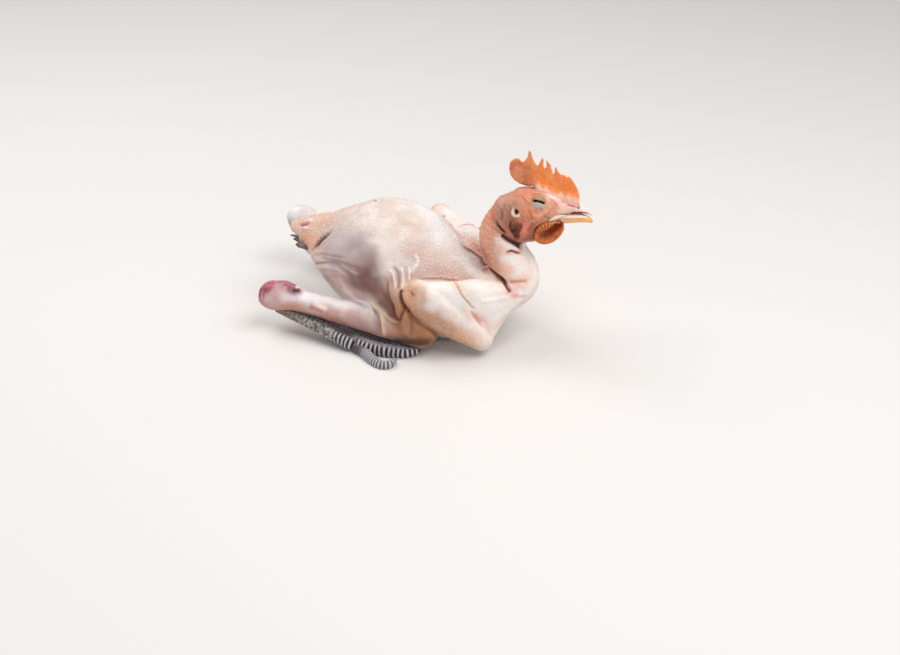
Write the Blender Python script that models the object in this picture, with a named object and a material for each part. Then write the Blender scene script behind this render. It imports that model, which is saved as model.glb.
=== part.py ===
"""A whole raw rooster, plucked, lying on its breast with its back up, as one closed solid.

Metres, +Z up. +X is towards the head and +Y is the bird's left. It rests on z = 0, and the
origin is under the middle of its box. The sizes below are millimetres in the bird's own
layout, in which x = 0 is between the elbows and the breast is pressed a little below z = 0.9;
LAYOUT_SHIFT moves that layout to the origin.
"""

import math

import bmesh
import bpy
from mathutils import Matrix, Vector

MM = 0.001
LAYOUT_SHIFT = Vector((32.44, -1.10, -0.9))

# How finely the forms are drawn and fused.
LOFT_SIDES = 20
STEPS_PER_SPAN = 5
DOME_RINGS = 3
FLESH_VOXEL = 2.6
WHOLE_VOXEL = 1.4
TRIANGLES_WANTED = 8600
SNAP_TO_BOARD = 0.3

# A station is x, y, z of the centre, then the half width and the half height of the section.

TRUNK = [
    (-124, 6, 66, 17, 19),
    (-108, 4, 61, 30, 28),
    (-88, 2, 58, 42, 40),
    (-66, 1, 57, 50, 50),
    (-42, 0, 53, 54, 54),
    (-16, 0, 46, 49, 52),
    (8, 0, 36, 40, 40),
    (28, 0, 34, 34, 29),
    (46, 0, 39, 29, 19),
    (53, 0, 45, 24, 14),
]
ABDOMEN = [
    (-123, 4, 57, 15, 13),
    (-112, 3, 49, 23, 22),
    (-97, 3, 41, 31, 29),
    (-78, 2, 34, 37, 33),
    (-54, 0, 32, 38, 33),
]
TAIL = [
    (-100, 5, 75, 20, 14),
    (-119, 8, 71, 18, 16),
    (-134, 10, 69, 13, 12),
    (-148, 12, 66, 6, 5),
]

# The legs: joints, then the flesh as (share of the bone, half width, half height).
NEAR_LEG = {"hip": (-58, -30, 62), "knee": (-9, -47, 24), "hock": (-139, -52, 33)}
FAR_LEG = {"hip": (-62, 32, 60), "knee": (-36, 55, 29), "hock": (-169, 66, 47)}
DRUMSTICK_SAG = 3.5
THIGH = [(0.0, 26, 34), (0.35, 22, 30), (0.7, 17, 24), (1.0, 14, 17)]
DRUMSTICK = [
    (0.0, 17, 18),
    (0.26, 13.5, 14),
    (0.5, 11, 11),
    (0.8, 9, 9.6),
    (0.93, 11, 12.5),
    (1.0, 11, 12),
]

# The folded feet: the shank's line, then the toes' lines, each with its half width.
NEAR_SHANK = [(-138, -53, 23), (-113, -57, 19), (-83, -62, 13), (-64, -65, 9)]
FAR_SHANK = [(-169, 68, 35), (-146, 69, 26), (-118, 68, 14), (-100, 66, 8.5)]
SHANK = [(0.0, 5.5, 5.5), (0.5, 6, 6), (1.0, 8.5, 7)]
NEAR_TOES = {
    "outer": [(-66, -64, 7.5), (-50, -65, 5.5), (-32, -63, 4.8), (-18, -58, 4.2)],
    "middle": [(-60, -60, 10), (-44, -56, 10), (-28, -53, 9), (-14, -52, 7)],
    "curled": [(-62, -68, 6.5), (-48, -76, 4.6), (-37, -86, 3.8), (-28, -89, 3.8), (-24, -82, 4)],
}
FAR_TOES = {
    "outer": [(-100, 66, 7.5), (-84, 69, 5.5), (-67, 69, 4.8), (-53, 65, 4.2)],
    "middle": [(-95, 63, 9), (-79, 60, 9), (-62, 58, 8), (-48, 57, 6.5)],
    "curled": [(-98, 70, 6.5), (-86, 79, 4.6), (-76, 87, 3.8), (-66, 89, 3.8), (-62, 82, 4)],
}
TOE = [(0.0, 6, 6), (0.5, 5, 5), (1.0, 4, 4)]

# The folded wings: upper arm with its web of skin, forearm, and the hand tucked under it.
NEAR_WING = {"shoulder": (57, -19, 51), "elbow": (-8, -56, 59), "wrist": (42, -36, 15)}
FAR_WING = {"shoulder": (54, 22, 52), "elbow": (-29, 53, 77), "wrist": (27, 41, 31)}
UPPER_ARM_SAG = 9
UPPER_ARM = [(0.0, 11, 11), (0.3, 12, 20), (0.6, 11, 19), (1.0, 9, 10)]
WING_WEB = [(0.0, 10, 9), (0.5, 7, 8), (1.0, 6, 7)]
FOREARM = [(0.0, 10, 12), (0.25, 10.5, 16), (0.6, 10, 16), (0.9, 9, 11), (1.0, 8, 9)]
HAND = [(0.0, 8, 9), (0.4, 7, 9), (0.8, 5, 6), (1.0, 3, 3)]
HAND_REACH = 0.72
HAND_DROP = 13

NECK = [
    (44, 0, 46, 23, 22),
    (57, 0, 54, 20, 19),
    (57, -1, 68, 18.5, 18),
    (46, -2, 84, 17.5, 17.5),
    (43, -2, 100, 15.5, 15),
    (50, 0, 113, 13.5, 14),
    (60, 2, 120, 13, 14),
]

# The head: forward, left and up from its own middle, which HEAD_AT and HEAD_TURN place.
HEAD_AT = (56, 0, 117)
HEAD_TURN = math.radians(20)
SKULL = [
    (-6, 0, 2, 12, 13),
    (3, 0, 2, 14, 18),
    (16, 0, 4, 14, 17),
    (28, 0, 5, 11, 13),
    (38, 0, 5, 7.6, 7.6),
    (44, 0, 5.6, 5.8, 5.4),
]
JOWL = [(-4, 0, -8.5, 10, 11), (6, 0, -13, 11, 14.5), (17, 0, -9.5, 9, 12)]
UPPER_BEAK = [
    (40, 0, 5, 6.4, 5.4),
    (49, 0, 4.4, 4.8, 4.4),
    (53, 0, 2.8, 3.6, 3),
    (57, 0, 1, 2.7, 2),
    (60, 0, -1.2, 1.8, 1.6),
    (62, 0, -3.4, 1.2, 1.2),
]
LOWER_BEAK = [
    (26, 0, -3, 7, 5.5),
    (36, 0, -5.2, 6.2, 4.4),
    (44, 0, -4.6, 4.6, 3.6),
    (54, 0, -4.2, 3, 2.8),
    (61, 0, -6.2, 1.3, 1.6),
]
COMB_BLADE = [
    (-4, 0, 37.5, 2.4, 6.5),
    (2, 0, 36, 2.5, 9.5),
    (9, 0, 34, 2.6, 10.5),
    (18, 0, 30, 2.8, 10.5),
    (30, 0, 23, 3.0, 10),
    (41, 0, 19, 2.8, 9),
    (47, 0, 15, 2.4, 6.5),
]
# Each point of the comb: how far forward it stands, its foot's and its tip's height, its half width.
COMB_POINTS = [
    (9, 38, 53.4, 4.2),
    (19.5, 34, 46.6, 2.4),
    (24.5, 31, 46, 2.2),
    (31, 26, 39.8, 2.2),
    (37.5, 24, 32.5, 2.2),
    (42.5, 22, 30.3, 2.2),
]
COMB_POINT_DEPTH = 1.9
EYE = [(17.5, 5, 13, 5.5, 5.5), (17.5, 9.5, 13, 5.5, 5)]
EARLOBE = [(1, 9.5, -6, 3, 4), (2, 10.5, -12, 3.4, 6), (4, 9.5, -18, 3, 4.5)]
WATTLE = [(20, -7, -7, 3, 5), (25, -8.5, -13, 3, 9), (31, -8.5, -15, 3, 8.5), (37, -7.5, -12, 2.6, 5)]


def catmull_rom(rows, steps):
    """Rows of numbers read along a smooth curve through the given ones."""
    padded = [rows[0], *rows, rows[-1]]
    read = []
    for a, b, c, d in zip(padded, padded[1:], padded[2:], padded[3:]):
        for step in range(steps):
            t = step / steps
            read.append(
                [
                    0.5 * (2 * q + (r - p) * t + (2 * p - 5 * q + 4 * r - s) * t**2
                           + (3 * q - p - 3 * r + s) * t**3)
                    for p, q, r, s in zip(a, b, c, d)
                ]
            )
    read.append(list(rows[-1]))
    return read


def along(points, profile):
    """Stations on the line through points, fleshed out by (share of the line, half sizes)."""
    line = [Vector(row) for row in catmull_rom(points, 2 * STEPS_PER_SPAN)]
    reached = [0.0]
    for before, after in zip(line, line[1:]):
        reached.append(reached[-1] + (after - before).length)
    stations = []
    for share, half_width, half_height in profile:
        target = share * reached[-1]
        i = next(n for n in range(1, len(line)) if reached[n] >= target - 1e-9)
        part = (target - reached[i - 1]) / (reached[i] - reached[i - 1])
        stations.append((*line[i - 1].lerp(line[i], part), half_width, half_height))
    return stations


def loft(stations, up=(0, 0, 1), facing=None):
    """A closed tube of elliptical sections through the stations, with domed ends, as a bmesh.
    The sections face along the tube, or all one way if facing says so."""
    rows = catmull_rom(stations, STEPS_PER_SPAN)
    centres = [Vector(row[:3]) for row in rows]
    tangents = [
        (centres[min(i + 1, len(rows) - 1)] - centres[max(i - 1, 0)]).normalized()
        for i in range(len(rows))
    ]
    if facing:
        tangents = [Vector(facing)] * len(rows)
    sections = []
    for ring in range(DOME_RINGS, 0, -1):
        sections.append((0, -math.sin(ring / (DOME_RINGS + 1) * math.pi / 2), ring))
    sections += [(i, 0.0, 0) for i in range(len(rows))]
    for ring in range(1, DOME_RINGS + 1):
        sections.append((len(rows) - 1, math.sin(ring / (DOME_RINGS + 1) * math.pi / 2), ring))
    bm = bmesh.new()
    rings = []
    for i, reach, ring in sections:
        side = tangents[i].cross(Vector(up)).normalized()
        height = side.cross(tangents[i])
        shrink = math.cos(ring / (DOME_RINGS + 1) * math.pi / 2)
        centre = centres[i] + tangents[i] * reach * min(rows[i][3:])
        rings.append(
            [
                bm.verts.new(
                    centre
                    + side * rows[i][3] * shrink * math.cos(2 * math.pi * k / LOFT_SIDES)
                    + height * rows[i][4] * shrink * math.sin(2 * math.pi * k / LOFT_SIDES)
                )
                for k in range(LOFT_SIDES)
            ]
        )
    for before, after in zip(rings, rings[1:]):
        for k in range(LOFT_SIDES):
            n = (k + 1) % LOFT_SIDES
            bm.faces.new((before[k], before[n], after[n], after[k]))
    bm.faces.new(rings[0][::-1])
    bm.faces.new(rings[-1])
    bmesh.ops.recalc_face_normals(bm, faces=bm.faces)
    return bm


def leg(joints, shank, toes):
    """Drumstick, folded shank and toes. The thigh belongs to the trunk's flesh."""
    middle = Vector(joints["knee"]).lerp(joints["hock"], 0.5) - Vector((0, 0, DRUMSTICK_SAG))
    bone = [joints["knee"], middle, joints["hock"]]
    parts = [loft(along(bone, DRUMSTICK)), loft(along(shank, SHANK))]
    parts += [loft(along(toe, TOE)) for toe in toes.values()]
    return parts


def thigh(joints):
    return loft(along([joints["hip"], joints["knee"]], THIGH))


def wing(joints):
    """A folded wing. Its upper arm has skin hanging from it, the edge of the web of skin runs
    from shoulder to wrist, and the hand folds back under the forearm."""
    shoulder, elbow, wrist = (Vector(joints[name]) for name in ("shoulder", "elbow", "wrist"))
    middle = shoulder.lerp(elbow, 0.5) - Vector((0, 0, UPPER_ARM_SAG))
    tip = wrist.lerp(elbow, HAND_REACH) - Vector((0, 0, HAND_DROP))
    return [
        loft(along([shoulder, middle, elbow], UPPER_ARM)),
        loft(along([shoulder, wrist], WING_WEB)),
        loft(along([elbow, wrist], FOREARM)),
        loft(along([wrist, tip], HAND)),
    ]


def head():
    """Skull, jowl, beak, comb, eyes, earlobes and wattles, turned and put on the neck."""
    parts = [loft(stations) for stations in (SKULL, JOWL, UPPER_BEAK, LOWER_BEAK, COMB_BLADE)]
    for forward, foot, tip, half_width in COMB_POINTS:
        stations = [
            (forward, 0, foot, COMB_POINT_DEPTH, half_width),
            (forward, 0, (foot + tip) / 2, COMB_POINT_DEPTH, 0.8 * half_width),
            (forward, 0, tip, 0.6 * COMB_POINT_DEPTH, 0.5 * half_width),
        ]
        parts.append(loft(stations, up=(1, 0, 0)))
    for side in (1, -1):
        for stations, up in ((EYE, (0, 0, 1)), (EARLOBE, (1, 0, 0)), (WATTLE, (0, 0, 1))):
            parts.append(loft([(x, side * y, z, w, h) for x, y, z, w, h in stations], up))
    place = Matrix.Translation(HEAD_AT) @ Matrix.Rotation(HEAD_TURN, 4, "Z")
    for bm in parts:
        bm.transform(place)
    return parts


def evaluated(obj):
    """The object's mesh with its modifiers applied, as a bmesh. The object itself goes."""
    bpy.context.view_layer.update()
    graph = bpy.context.evaluated_depsgraph_get()
    done = bpy.data.meshes.new_from_object(obj.evaluated_get(graph))
    bpy.data.objects.remove(obj)
    bm = bmesh.new()
    bm.from_mesh(done)
    return bm


def outer_skin(bm):
    """Keeps only the outermost surface, so that no pocket stays sealed inside."""
    islands = []
    unseen = set(bm.verts)
    while unseen:
        island = set()
        waiting = [unseen.pop()]
        while waiting:
            vert = waiting.pop()
            island.add(vert)
            for edge in vert.link_edges:
                other = edge.other_vert(vert)
                if other in unseen:
                    unseen.discard(other)
                    waiting.append(other)
        islands.append(island)
    outermost = max(islands, key=len)
    bmesh.ops.delete(bm, geom=[vert for vert in bm.verts if vert not in outermost], context="VERTS")
    return bm


def fused(name, parts, voxel, smoothing):
    """One closed mesh round all the parts, with the seams between them smoothed."""
    joined = bmesh.new()
    for bm in parts:
        mesh = bpy.data.meshes.new(name)
        bm.to_mesh(mesh)
        bm.free()
        joined.from_mesh(mesh)
        bpy.data.meshes.remove(mesh)
    mesh = bpy.data.meshes.new(name)
    joined.to_mesh(mesh)
    joined.free()
    obj = bpy.data.objects.new(name, mesh)
    bpy.context.scene.collection.objects.link(obj)
    remesh = obj.modifiers.new("Fuse", "REMESH")
    remesh.mode = "VOXEL"
    remesh.voxel_size = voxel
    smooth = obj.modifiers.new("Soften", "SMOOTH")
    smooth.factor = 0.5
    smooth.iterations = smoothing
    return outer_skin(evaluated(obj))


def thinned(bm, wanted):
    """The same surface with about the wanted number of triangles."""
    bmesh.ops.triangulate(bm, faces=bm.faces)
    mesh = bpy.data.meshes.new("thinned")
    bm.to_mesh(mesh)
    obj = bpy.data.objects.new("thinned", mesh)
    bpy.context.scene.collection.objects.link(obj)
    decimate = obj.modifiers.new("Thin", "DECIMATE")
    decimate.ratio = wanted / len(bm.faces)
    bm.free()
    return evaluated(obj)


def rest_on_board(bm):
    """Cuts the surface at z = 0 and closes it there, so that it has flat faces to rest on."""
    for vert in bm.verts:
        if abs(vert.co.z) < SNAP_TO_BOARD:
            vert.co.z = 0
    everything = [*bm.verts, *bm.edges, *bm.faces]
    bmesh.ops.bisect_plane(
        bm, geom=everything, dist=1e-4, plane_co=(0, 0, 0), plane_no=(0, 0, -1), clear_outer=True
    )
    bmesh.ops.holes_fill(bm, edges=[edge for edge in bm.edges if edge.is_boundary], sides=0)
    bmesh.ops.recalc_face_normals(bm, faces=bm.faces)


def skin_material():
    material = bpy.data.materials.new("raw_skin")
    material.use_nodes = True
    shader = material.node_tree.nodes["Principled BSDF"]
    shader.inputs["Base Color"].default_value = (0.78, 0.58, 0.50, 1)
    shader.inputs["Roughness"].default_value = 0.42
    shader.inputs["Metallic"].default_value = 0.0
    return material


def whole_chicken():
    flesh = [loft(TRUNK, facing=(1, 0, 0)), loft(ABDOMEN, facing=(1, 0, 0)), loft(TAIL)]
    flesh += [thigh(NEAR_LEG), thigh(FAR_LEG)]
    parts = [fused("flesh", flesh, FLESH_VOXEL, 12)]
    parts += leg(NEAR_LEG, NEAR_SHANK, NEAR_TOES) + leg(FAR_LEG, FAR_SHANK, FAR_TOES)
    parts += wing(NEAR_WING) + wing(FAR_WING)
    parts += [loft(NECK, up=(1, 0, 0)), *head()]
    whole = thinned(fused("whole", parts, WHOLE_VOXEL, 3), TRIANGLES_WANTED)
    whole.transform(Matrix.Translation(LAYOUT_SHIFT))
    rest_on_board(whole)
    whole.transform(Matrix.Scale(MM, 4))
    mesh = bpy.data.meshes.new("whole_chicken")
    whole.to_mesh(mesh)
    whole.free()
    mesh.materials.append(skin_material())
    mesh.shade_smooth()
    obj = bpy.data.objects.new("whole_chicken", mesh)
    bpy.context.scene.collection.objects.link(obj)


for old in list(bpy.data.objects):
    bpy.data.objects.remove(old)
whole_chicken()
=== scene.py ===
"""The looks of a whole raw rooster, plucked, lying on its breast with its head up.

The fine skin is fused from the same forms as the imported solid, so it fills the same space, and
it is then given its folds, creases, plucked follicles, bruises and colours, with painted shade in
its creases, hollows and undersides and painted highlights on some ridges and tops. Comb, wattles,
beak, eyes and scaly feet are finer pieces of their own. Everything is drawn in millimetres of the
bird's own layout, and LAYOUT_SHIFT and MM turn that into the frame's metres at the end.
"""

import itertools
import math

import bmesh
import bpy
import numpy as np
from mathutils import Matrix, Vector
from mathutils.bvhtree import BVHTree
from mathutils.kdtree import KDTree


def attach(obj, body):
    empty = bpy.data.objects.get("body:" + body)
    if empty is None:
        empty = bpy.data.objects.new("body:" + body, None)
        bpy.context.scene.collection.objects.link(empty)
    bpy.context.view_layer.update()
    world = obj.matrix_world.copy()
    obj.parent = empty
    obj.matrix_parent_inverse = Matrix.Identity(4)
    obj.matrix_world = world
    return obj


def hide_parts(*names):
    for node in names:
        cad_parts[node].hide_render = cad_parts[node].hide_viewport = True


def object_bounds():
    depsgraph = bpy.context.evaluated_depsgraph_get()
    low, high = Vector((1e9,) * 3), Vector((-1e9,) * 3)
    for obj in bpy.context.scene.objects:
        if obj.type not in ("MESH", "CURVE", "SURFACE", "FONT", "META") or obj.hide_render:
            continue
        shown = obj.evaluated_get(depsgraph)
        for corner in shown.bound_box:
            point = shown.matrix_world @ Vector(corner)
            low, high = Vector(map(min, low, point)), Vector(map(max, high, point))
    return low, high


MM = 0.001
LAYOUT_SHIFT = Vector((32.44, -1.10, -0.9))
BOX_MARGIN = 0.03

# ---------------------------------------------------------------------------------------------
# The forms. A station is x, y, z of the centre, then the half width and half height there.

LOFT_SIDES = 24
STEPS_PER_SPAN = 6
DOME_RINGS = 4
FLESH_VOXEL = 2.6
SKIN_VOXEL = 1.5
FOLD_REACH = 3.2
FOLD_LIPS = 0.25
FACE_REACH = 34

TRUNK = [
    (-124, 6, 66, 17, 19), (-108, 4, 61, 30, 28), (-88, 2, 58, 42, 40), (-66, 1, 57, 50, 50),
    (-42, 0, 53, 54, 54), (-16, 0, 46, 49, 52), (8, 0, 36, 40, 40), (28, 0, 34, 34, 29),
    (46, 0, 39, 29, 19), (53, 0, 45, 24, 14),
]
ABDOMEN = [
    (-123, 4, 59, 15, 13), (-112, 3, 52, 22, 22), (-97, 3, 44.5, 29.5, 29), (-78, 2, 36.5, 36, 33),
    (-54, 0, 32, 38, 33),
]
TAIL = [
    (-100, 5, 75, 20, 14), (-119, 8, 71, 18, 16), (-134, 10, 69, 13, 12), (-148, 12, 66, 6, 5),
]

NEAR_LEG = {"hip": (-58, -30, 62), "knee": (-9, -47, 24), "hock": (-139, -52, 33)}
FAR_LEG = {"hip": (-62, 32, 60), "knee": (-36, 55, 29), "hock": (-169, 66, 47)}
DRUMSTICK_SAG = 3.5
THIGH = [(0.0, 26, 34), (0.35, 22, 30), (0.7, 17, 24), (1.0, 14, 17)]
DRUMSTICK = [
    (0, 17, 18), (0.26, 13.5, 14), (0.5, 11, 11), (0.8, 9, 9.6), (0.93, 11, 12.5), (1, 11, 12),
]

NEAR_SHANK = [(-133, -54, 22), (-113, -57, 19), (-83, -62, 13), (-64, -65, 9)]
FAR_SHANK = [(-169, 68, 35), (-146, 69, 26), (-118, 68, 14), (-100, 66, 8.5)]
SHANK = [(0.0, 4.5, 4.5), (0.5, 6, 6), (1.0, 7.4, 6.6)]
NEAR_TOES = {
    "outer": [(-66, -61, 9.5), (-51, -64, 7), (-36, -64.5, 6), (-23, -62.5, 5.6), (-13, -58.5, 5.4),
              (-8.5, -56, 6)],
    "middle": [(-60, -58, 11), (-46, -57, 11), (-33, -56.5, 9.6), (-18, -54, 7)],
    "curled": [(-60, -66, 6), (-47, -73, 4.6), (-39, -79, 4), (-32, -83, 3.8), (-26, -83.6, 3.8),
               (-22.3, -80, 3.8), (-21.4, -75.5, 3.8)],
}
SOLE = [(-92, -57, 15), (-76, -55, 14), (-62, -56, 12)]


def to_far_foot(points):
    """The near foot's points, mirrored and carried over to the far foot."""
    return [(x - 34 + 0.02 * y, -y + 1 - 0.05 * x, z) for x, y, z in points]


FAR_TOES = {name: to_far_foot(points) for name, points in NEAR_TOES.items()}
FAR_SOLE = to_far_foot(SOLE)
TOE = {
    "outer": [(0, 7, 7), (0.3, 5.4, 5.8), (0.6, 5, 5.2), (0.85, 4.4, 4.6), (1, 2.6, 3)],
    "middle": [(0, 6, 6), (0.5, 5, 5), (1, 4, 4)],
    "curled": [(0, 3.6, 3.6), (0.25, 3.8, 3.8), (0.45, 4, 4), (0.6, 3.6, 3.6), (0.75, 3.5, 3.5),
               (0.88, 3.3, 3.3), (1, 2.6, 2.6)],
}
SOLE_GIRTH = [(0.0, 5, 4), (0.5, 8, 6), (1.0, 7, 6)]

NEAR_WING = {"shoulder": (57, -19, 51), "elbow": (-8, -56, 59), "wrist": (42, -36, 15)}
FAR_WING = {"shoulder": (54, 22, 52), "elbow": (-29, 53, 77), "wrist": (27, 41, 31)}
UPPER_ARM_SAG = 9
UPPER_ARM = [(0.0, 11, 11), (0.3, 12, 20), (0.6, 11, 19), (1.0, 9, 10)]
WING_WEB = [(0.0, 10, 9), (0.5, 7, 8), (1.0, 6, 7)]
FOREARM = [(0.0, 10, 12), (0.25, 10.5, 16), (0.6, 10, 16), (0.9, 9, 11), (1.0, 8, 9)]
HAND = [(0.0, 8, 9), (0.4, 7, 9), (0.8, 5, 6), (1.0, 3, 3)]
HAND_REACH = 0.72
HAND_DROP = 13

NECK = [
    (44, 0, 46, 23, 22), (57, 0, 54, 20, 19), (57, -1, 68, 18.5, 18), (46, -2, 84, 17.5, 17.5),
    (43, -2, 100, 15.5, 15), (50, 0, 113, 13.5, 14), (60, 2, 120, 13, 14),
]

# The head: forward, left and up from its own middle, which HEAD_AT and HEAD_TURN place.
HEAD_AT = (56, 0, 117)
HEAD_TURN = math.radians(20)
SKULL = [
    (-6, 0, 2, 12, 13), (3, 0, 2, 14, 18), (16, 0, 4, 14, 17), (28, 0, 5, 11, 13), (38, 0, 5, 7.6, 7.6),
    (44, 0, 5.6, 5.8, 5.4),
]
JOWL = [(-4, 0, -9.2, 10, 12.2), (6, 0, -13.8, 11, 16.2), (17, 0, -9.5, 9, 12)]


def catmull_rom(rows, steps):
    """Rows of numbers read along a smooth curve through the given ones."""
    padded = [rows[0], *rows, rows[-1]]
    read_off = []
    for a, b, c, d in zip(padded, padded[1:], padded[2:], padded[3:]):
        for step in range(steps):
            t = step / steps
            read_off.append(
                [
                    0.5 * (2 * q + (r - p) * t + (2 * p - 5 * q + 4 * r - s) * t**2
                           + (3 * q - p - 3 * r + s) * t**3)
                    for p, q, r, s in zip(a, b, c, d)
                ]
            )
    read_off.append(list(rows[-1]))
    return read_off


def along(points, profile):
    """Stations on the line through points, fleshed out by (share of the line, half sizes)."""
    line = [Vector(row) for row in catmull_rom(points, 2 * STEPS_PER_SPAN)]
    reached = [0.0]
    for before, after in zip(line, line[1:]):
        reached.append(reached[-1] + (after - before).length)
    stations = []
    for share, half_width, half_height in profile:
        target = share * reached[-1]
        i = next(n for n in range(1, len(line)) if reached[n] >= target - 1e-9)
        part = (target - reached[i - 1]) / (reached[i] - reached[i - 1])
        stations.append((*line[i - 1].lerp(line[i], part), half_width, half_height))
    return stations


def loft(stations, up=(0, 0, 1), facing=None):
    """A closed tube of elliptical sections through the stations, with domed ends, as a bmesh.
    The sections face along the tube, or all one way if facing says so."""
    rows = catmull_rom(stations, STEPS_PER_SPAN)
    centres = [Vector(row[:3]) for row in rows]
    last = len(rows) - 1
    dome = [ring / (DOME_RINGS + 1) * math.pi / 2 for ring in range(1, DOME_RINGS + 1)]
    sections = [(0, -angle) for angle in reversed(dome)] + [(i, 0) for i in range(last + 1)]
    bm = bmesh.new()
    rings = []
    for i, angle in sections + [(last, angle) for angle in dome]:
        tangent = (centres[min(i + 1, last)] - centres[max(i - 1, 0)]).normalized()
        tangent = Vector(facing) if facing else tangent
        side = tangent.cross(Vector(up)).normalized()
        centre = centres[i] + tangent * math.sin(angle) * min(rows[i][3:])
        wide = side * rows[i][3] * math.cos(angle)
        high = side.cross(tangent) * rows[i][4] * math.cos(angle)
        ring = [2 * math.pi * k / LOFT_SIDES for k in range(LOFT_SIDES)]
        rings.append([bm.verts.new(centre + wide * math.cos(a) + high * math.sin(a)) for a in ring])
    for before, after in zip(rings, rings[1:]):
        for k in range(LOFT_SIDES):
            n = (k + 1) % LOFT_SIDES
            bm.faces.new((before[k], before[n], after[n], after[k]))
    bm.faces.new(rings[0][::-1])
    bm.faces.new(rings[-1])
    bmesh.ops.recalc_face_normals(bm, faces=bm.faces)
    return bm


def thigh(joints):
    return loft(along([joints["hip"], joints["knee"]], THIGH))


def drumstick(joints):
    middle = Vector(joints["knee"]).lerp(joints["hock"], 0.5) - Vector((0, 0, DRUMSTICK_SAG))
    return loft(along([joints["knee"], middle, joints["hock"]], DRUMSTICK))


def wing(joints):
    """A folded wing: upper arm with skin hanging from it, edge of the web, forearm and hand."""
    shoulder, elbow, wrist = (Vector(joints[name]) for name in ("shoulder", "elbow", "wrist"))
    middle = shoulder.lerp(elbow, 0.5) - Vector((0, 0, UPPER_ARM_SAG))
    tip = wrist.lerp(elbow, HAND_REACH) - Vector((0, 0, HAND_DROP))
    return [
        loft(along([shoulder, middle, elbow], UPPER_ARM)),
        loft(along([shoulder, wrist], WING_WEB)),
        loft(along([elbow, wrist], FOREARM)),
        loft(along([wrist, tip], HAND)),
    ]


HEAD_PLACE = Matrix.Translation(HEAD_AT) @ Matrix.Rotation(HEAD_TURN, 4, "Z")


def on_head(points):
    """Points given as forward, left and up of the head's middle, in the layout."""
    return [tuple(HEAD_PLACE @ Vector(point)) for point in points]


def evaluated(obj):
    """The object's mesh with its modifiers applied, as a bmesh. The object itself goes."""
    bpy.context.view_layer.update()
    graph = bpy.context.evaluated_depsgraph_get()
    done = bpy.data.meshes.new_from_object(obj.evaluated_get(graph))
    bpy.data.objects.remove(obj)
    bm = bmesh.new()
    bm.from_mesh(done)
    return bm


def outer_skin(bm):
    """Keeps only the outermost surface, so that no pocket stays sealed inside."""
    outermost = set()
    unseen = set(bm.verts)
    while unseen:
        waiting = [unseen.pop()]
        island = set(waiting)
        while waiting:
            vert = waiting.pop()
            others = {edge.other_vert(vert) for edge in vert.link_edges} & unseen
            unseen -= others
            island |= others
            waiting += others
        outermost = max(outermost, island, key=len)
    bmesh.ops.delete(bm, geom=[vert for vert in bm.verts if vert not in outermost], context="VERTS")
    return bm


def fused(parts, voxel, smoothing):
    """One closed mesh round all the parts, with the seams between them smoothed."""
    joined = bmesh.new()
    for bm in parts:
        mesh = bpy.data.meshes.new("part")
        bm.to_mesh(mesh)
        bm.free()
        joined.from_mesh(mesh)
        bpy.data.meshes.remove(mesh)
    mesh = bpy.data.meshes.new("fused")
    joined.to_mesh(mesh)
    joined.free()
    obj = bpy.data.objects.new("fused", mesh)
    bpy.context.scene.collection.objects.link(obj)
    remesh = obj.modifiers.new("Fuse", "REMESH")
    remesh.mode = "VOXEL"
    remesh.voxel_size = voxel
    smooth = obj.modifiers.new("Soften", "SMOOTH")
    smooth.factor = 0.5
    smooth.iterations = smoothing
    return outer_skin(evaluated(obj))


def finer(bm, wanted, rounds):
    """Halves the faces for which wanted(centre) is true, and rounds the new points off."""
    for _ in range(rounds):
        faces = [face for face in bm.faces if wanted(face.calc_center_median())]
        edges = list({edge for face in faces for edge in face.edges})
        split = bmesh.ops.subdivide_edges(bm, edges=edges, cuts=1, use_grid_fill=True)
        inner = [item for item in split["geom"] if isinstance(item, bmesh.types.BMVert)]
        bmesh.ops.smooth_vert(
            bm, verts=inner, factor=0.5, use_axis_x=True, use_axis_y=True, use_axis_z=True
        )
    return bm


# ---------------------------------------------------------------------------------------------
# Relief and colour laid on a fused form.


def read(items, name, width=3):
    values = np.empty(len(items) * width, np.float32)
    items.foreach_get(name, values)
    return values.reshape(-1, width).astype(float)


def smoothstep(values, start, end):
    t = np.clip((values - start) / (end - start), 0, 1)
    return t * t * (3 - 2 * t)


def noise(points, size, seed=0):
    """Smooth random values from -1 to 1, one for each point, changing over the given size."""
    table = np.random.default_rng(seed).uniform(-1, 1, 4096)
    cell = points / size
    base = np.floor(cell).astype(np.int64)
    part = cell - base
    part = part * part * (3 - 2 * part)
    total = np.zeros(len(points))
    for corner in itertools.product((0, 1), repeat=3):
        key = (base + corner) @ np.array([73856093, 19349663, 83492791])
        weight = np.where(np.array(corner) == 1, part, 1 - part).prod(axis=1)
        total += weight * table[(key ^ (key >> 12)) % 4096]
    return total


def nearest_on(points, route):
    """The number of each point's nearest place on a route, the route's length up to each of its
    places, and each point's offset and distance from its nearest place."""
    lengths = np.concatenate([[0], np.cumsum(np.linalg.norm(np.diff(route, axis=0), axis=1))])
    offset = points[:, None] - route[None]
    distance = np.linalg.norm(offset, axis=2)
    best = distance.argmin(axis=1)
    rows = np.arange(len(points))
    return best, lengths, offset[rows, best], distance[rows, best]


def light_of(colour):
    """A colour given as red, green and blue from 0 to 255, as light."""
    shares = np.array(colour) / 255
    return np.where(shares <= 0.04045, shares / 12.92, ((shares + 0.055) / 1.055) ** 2.4)


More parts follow.
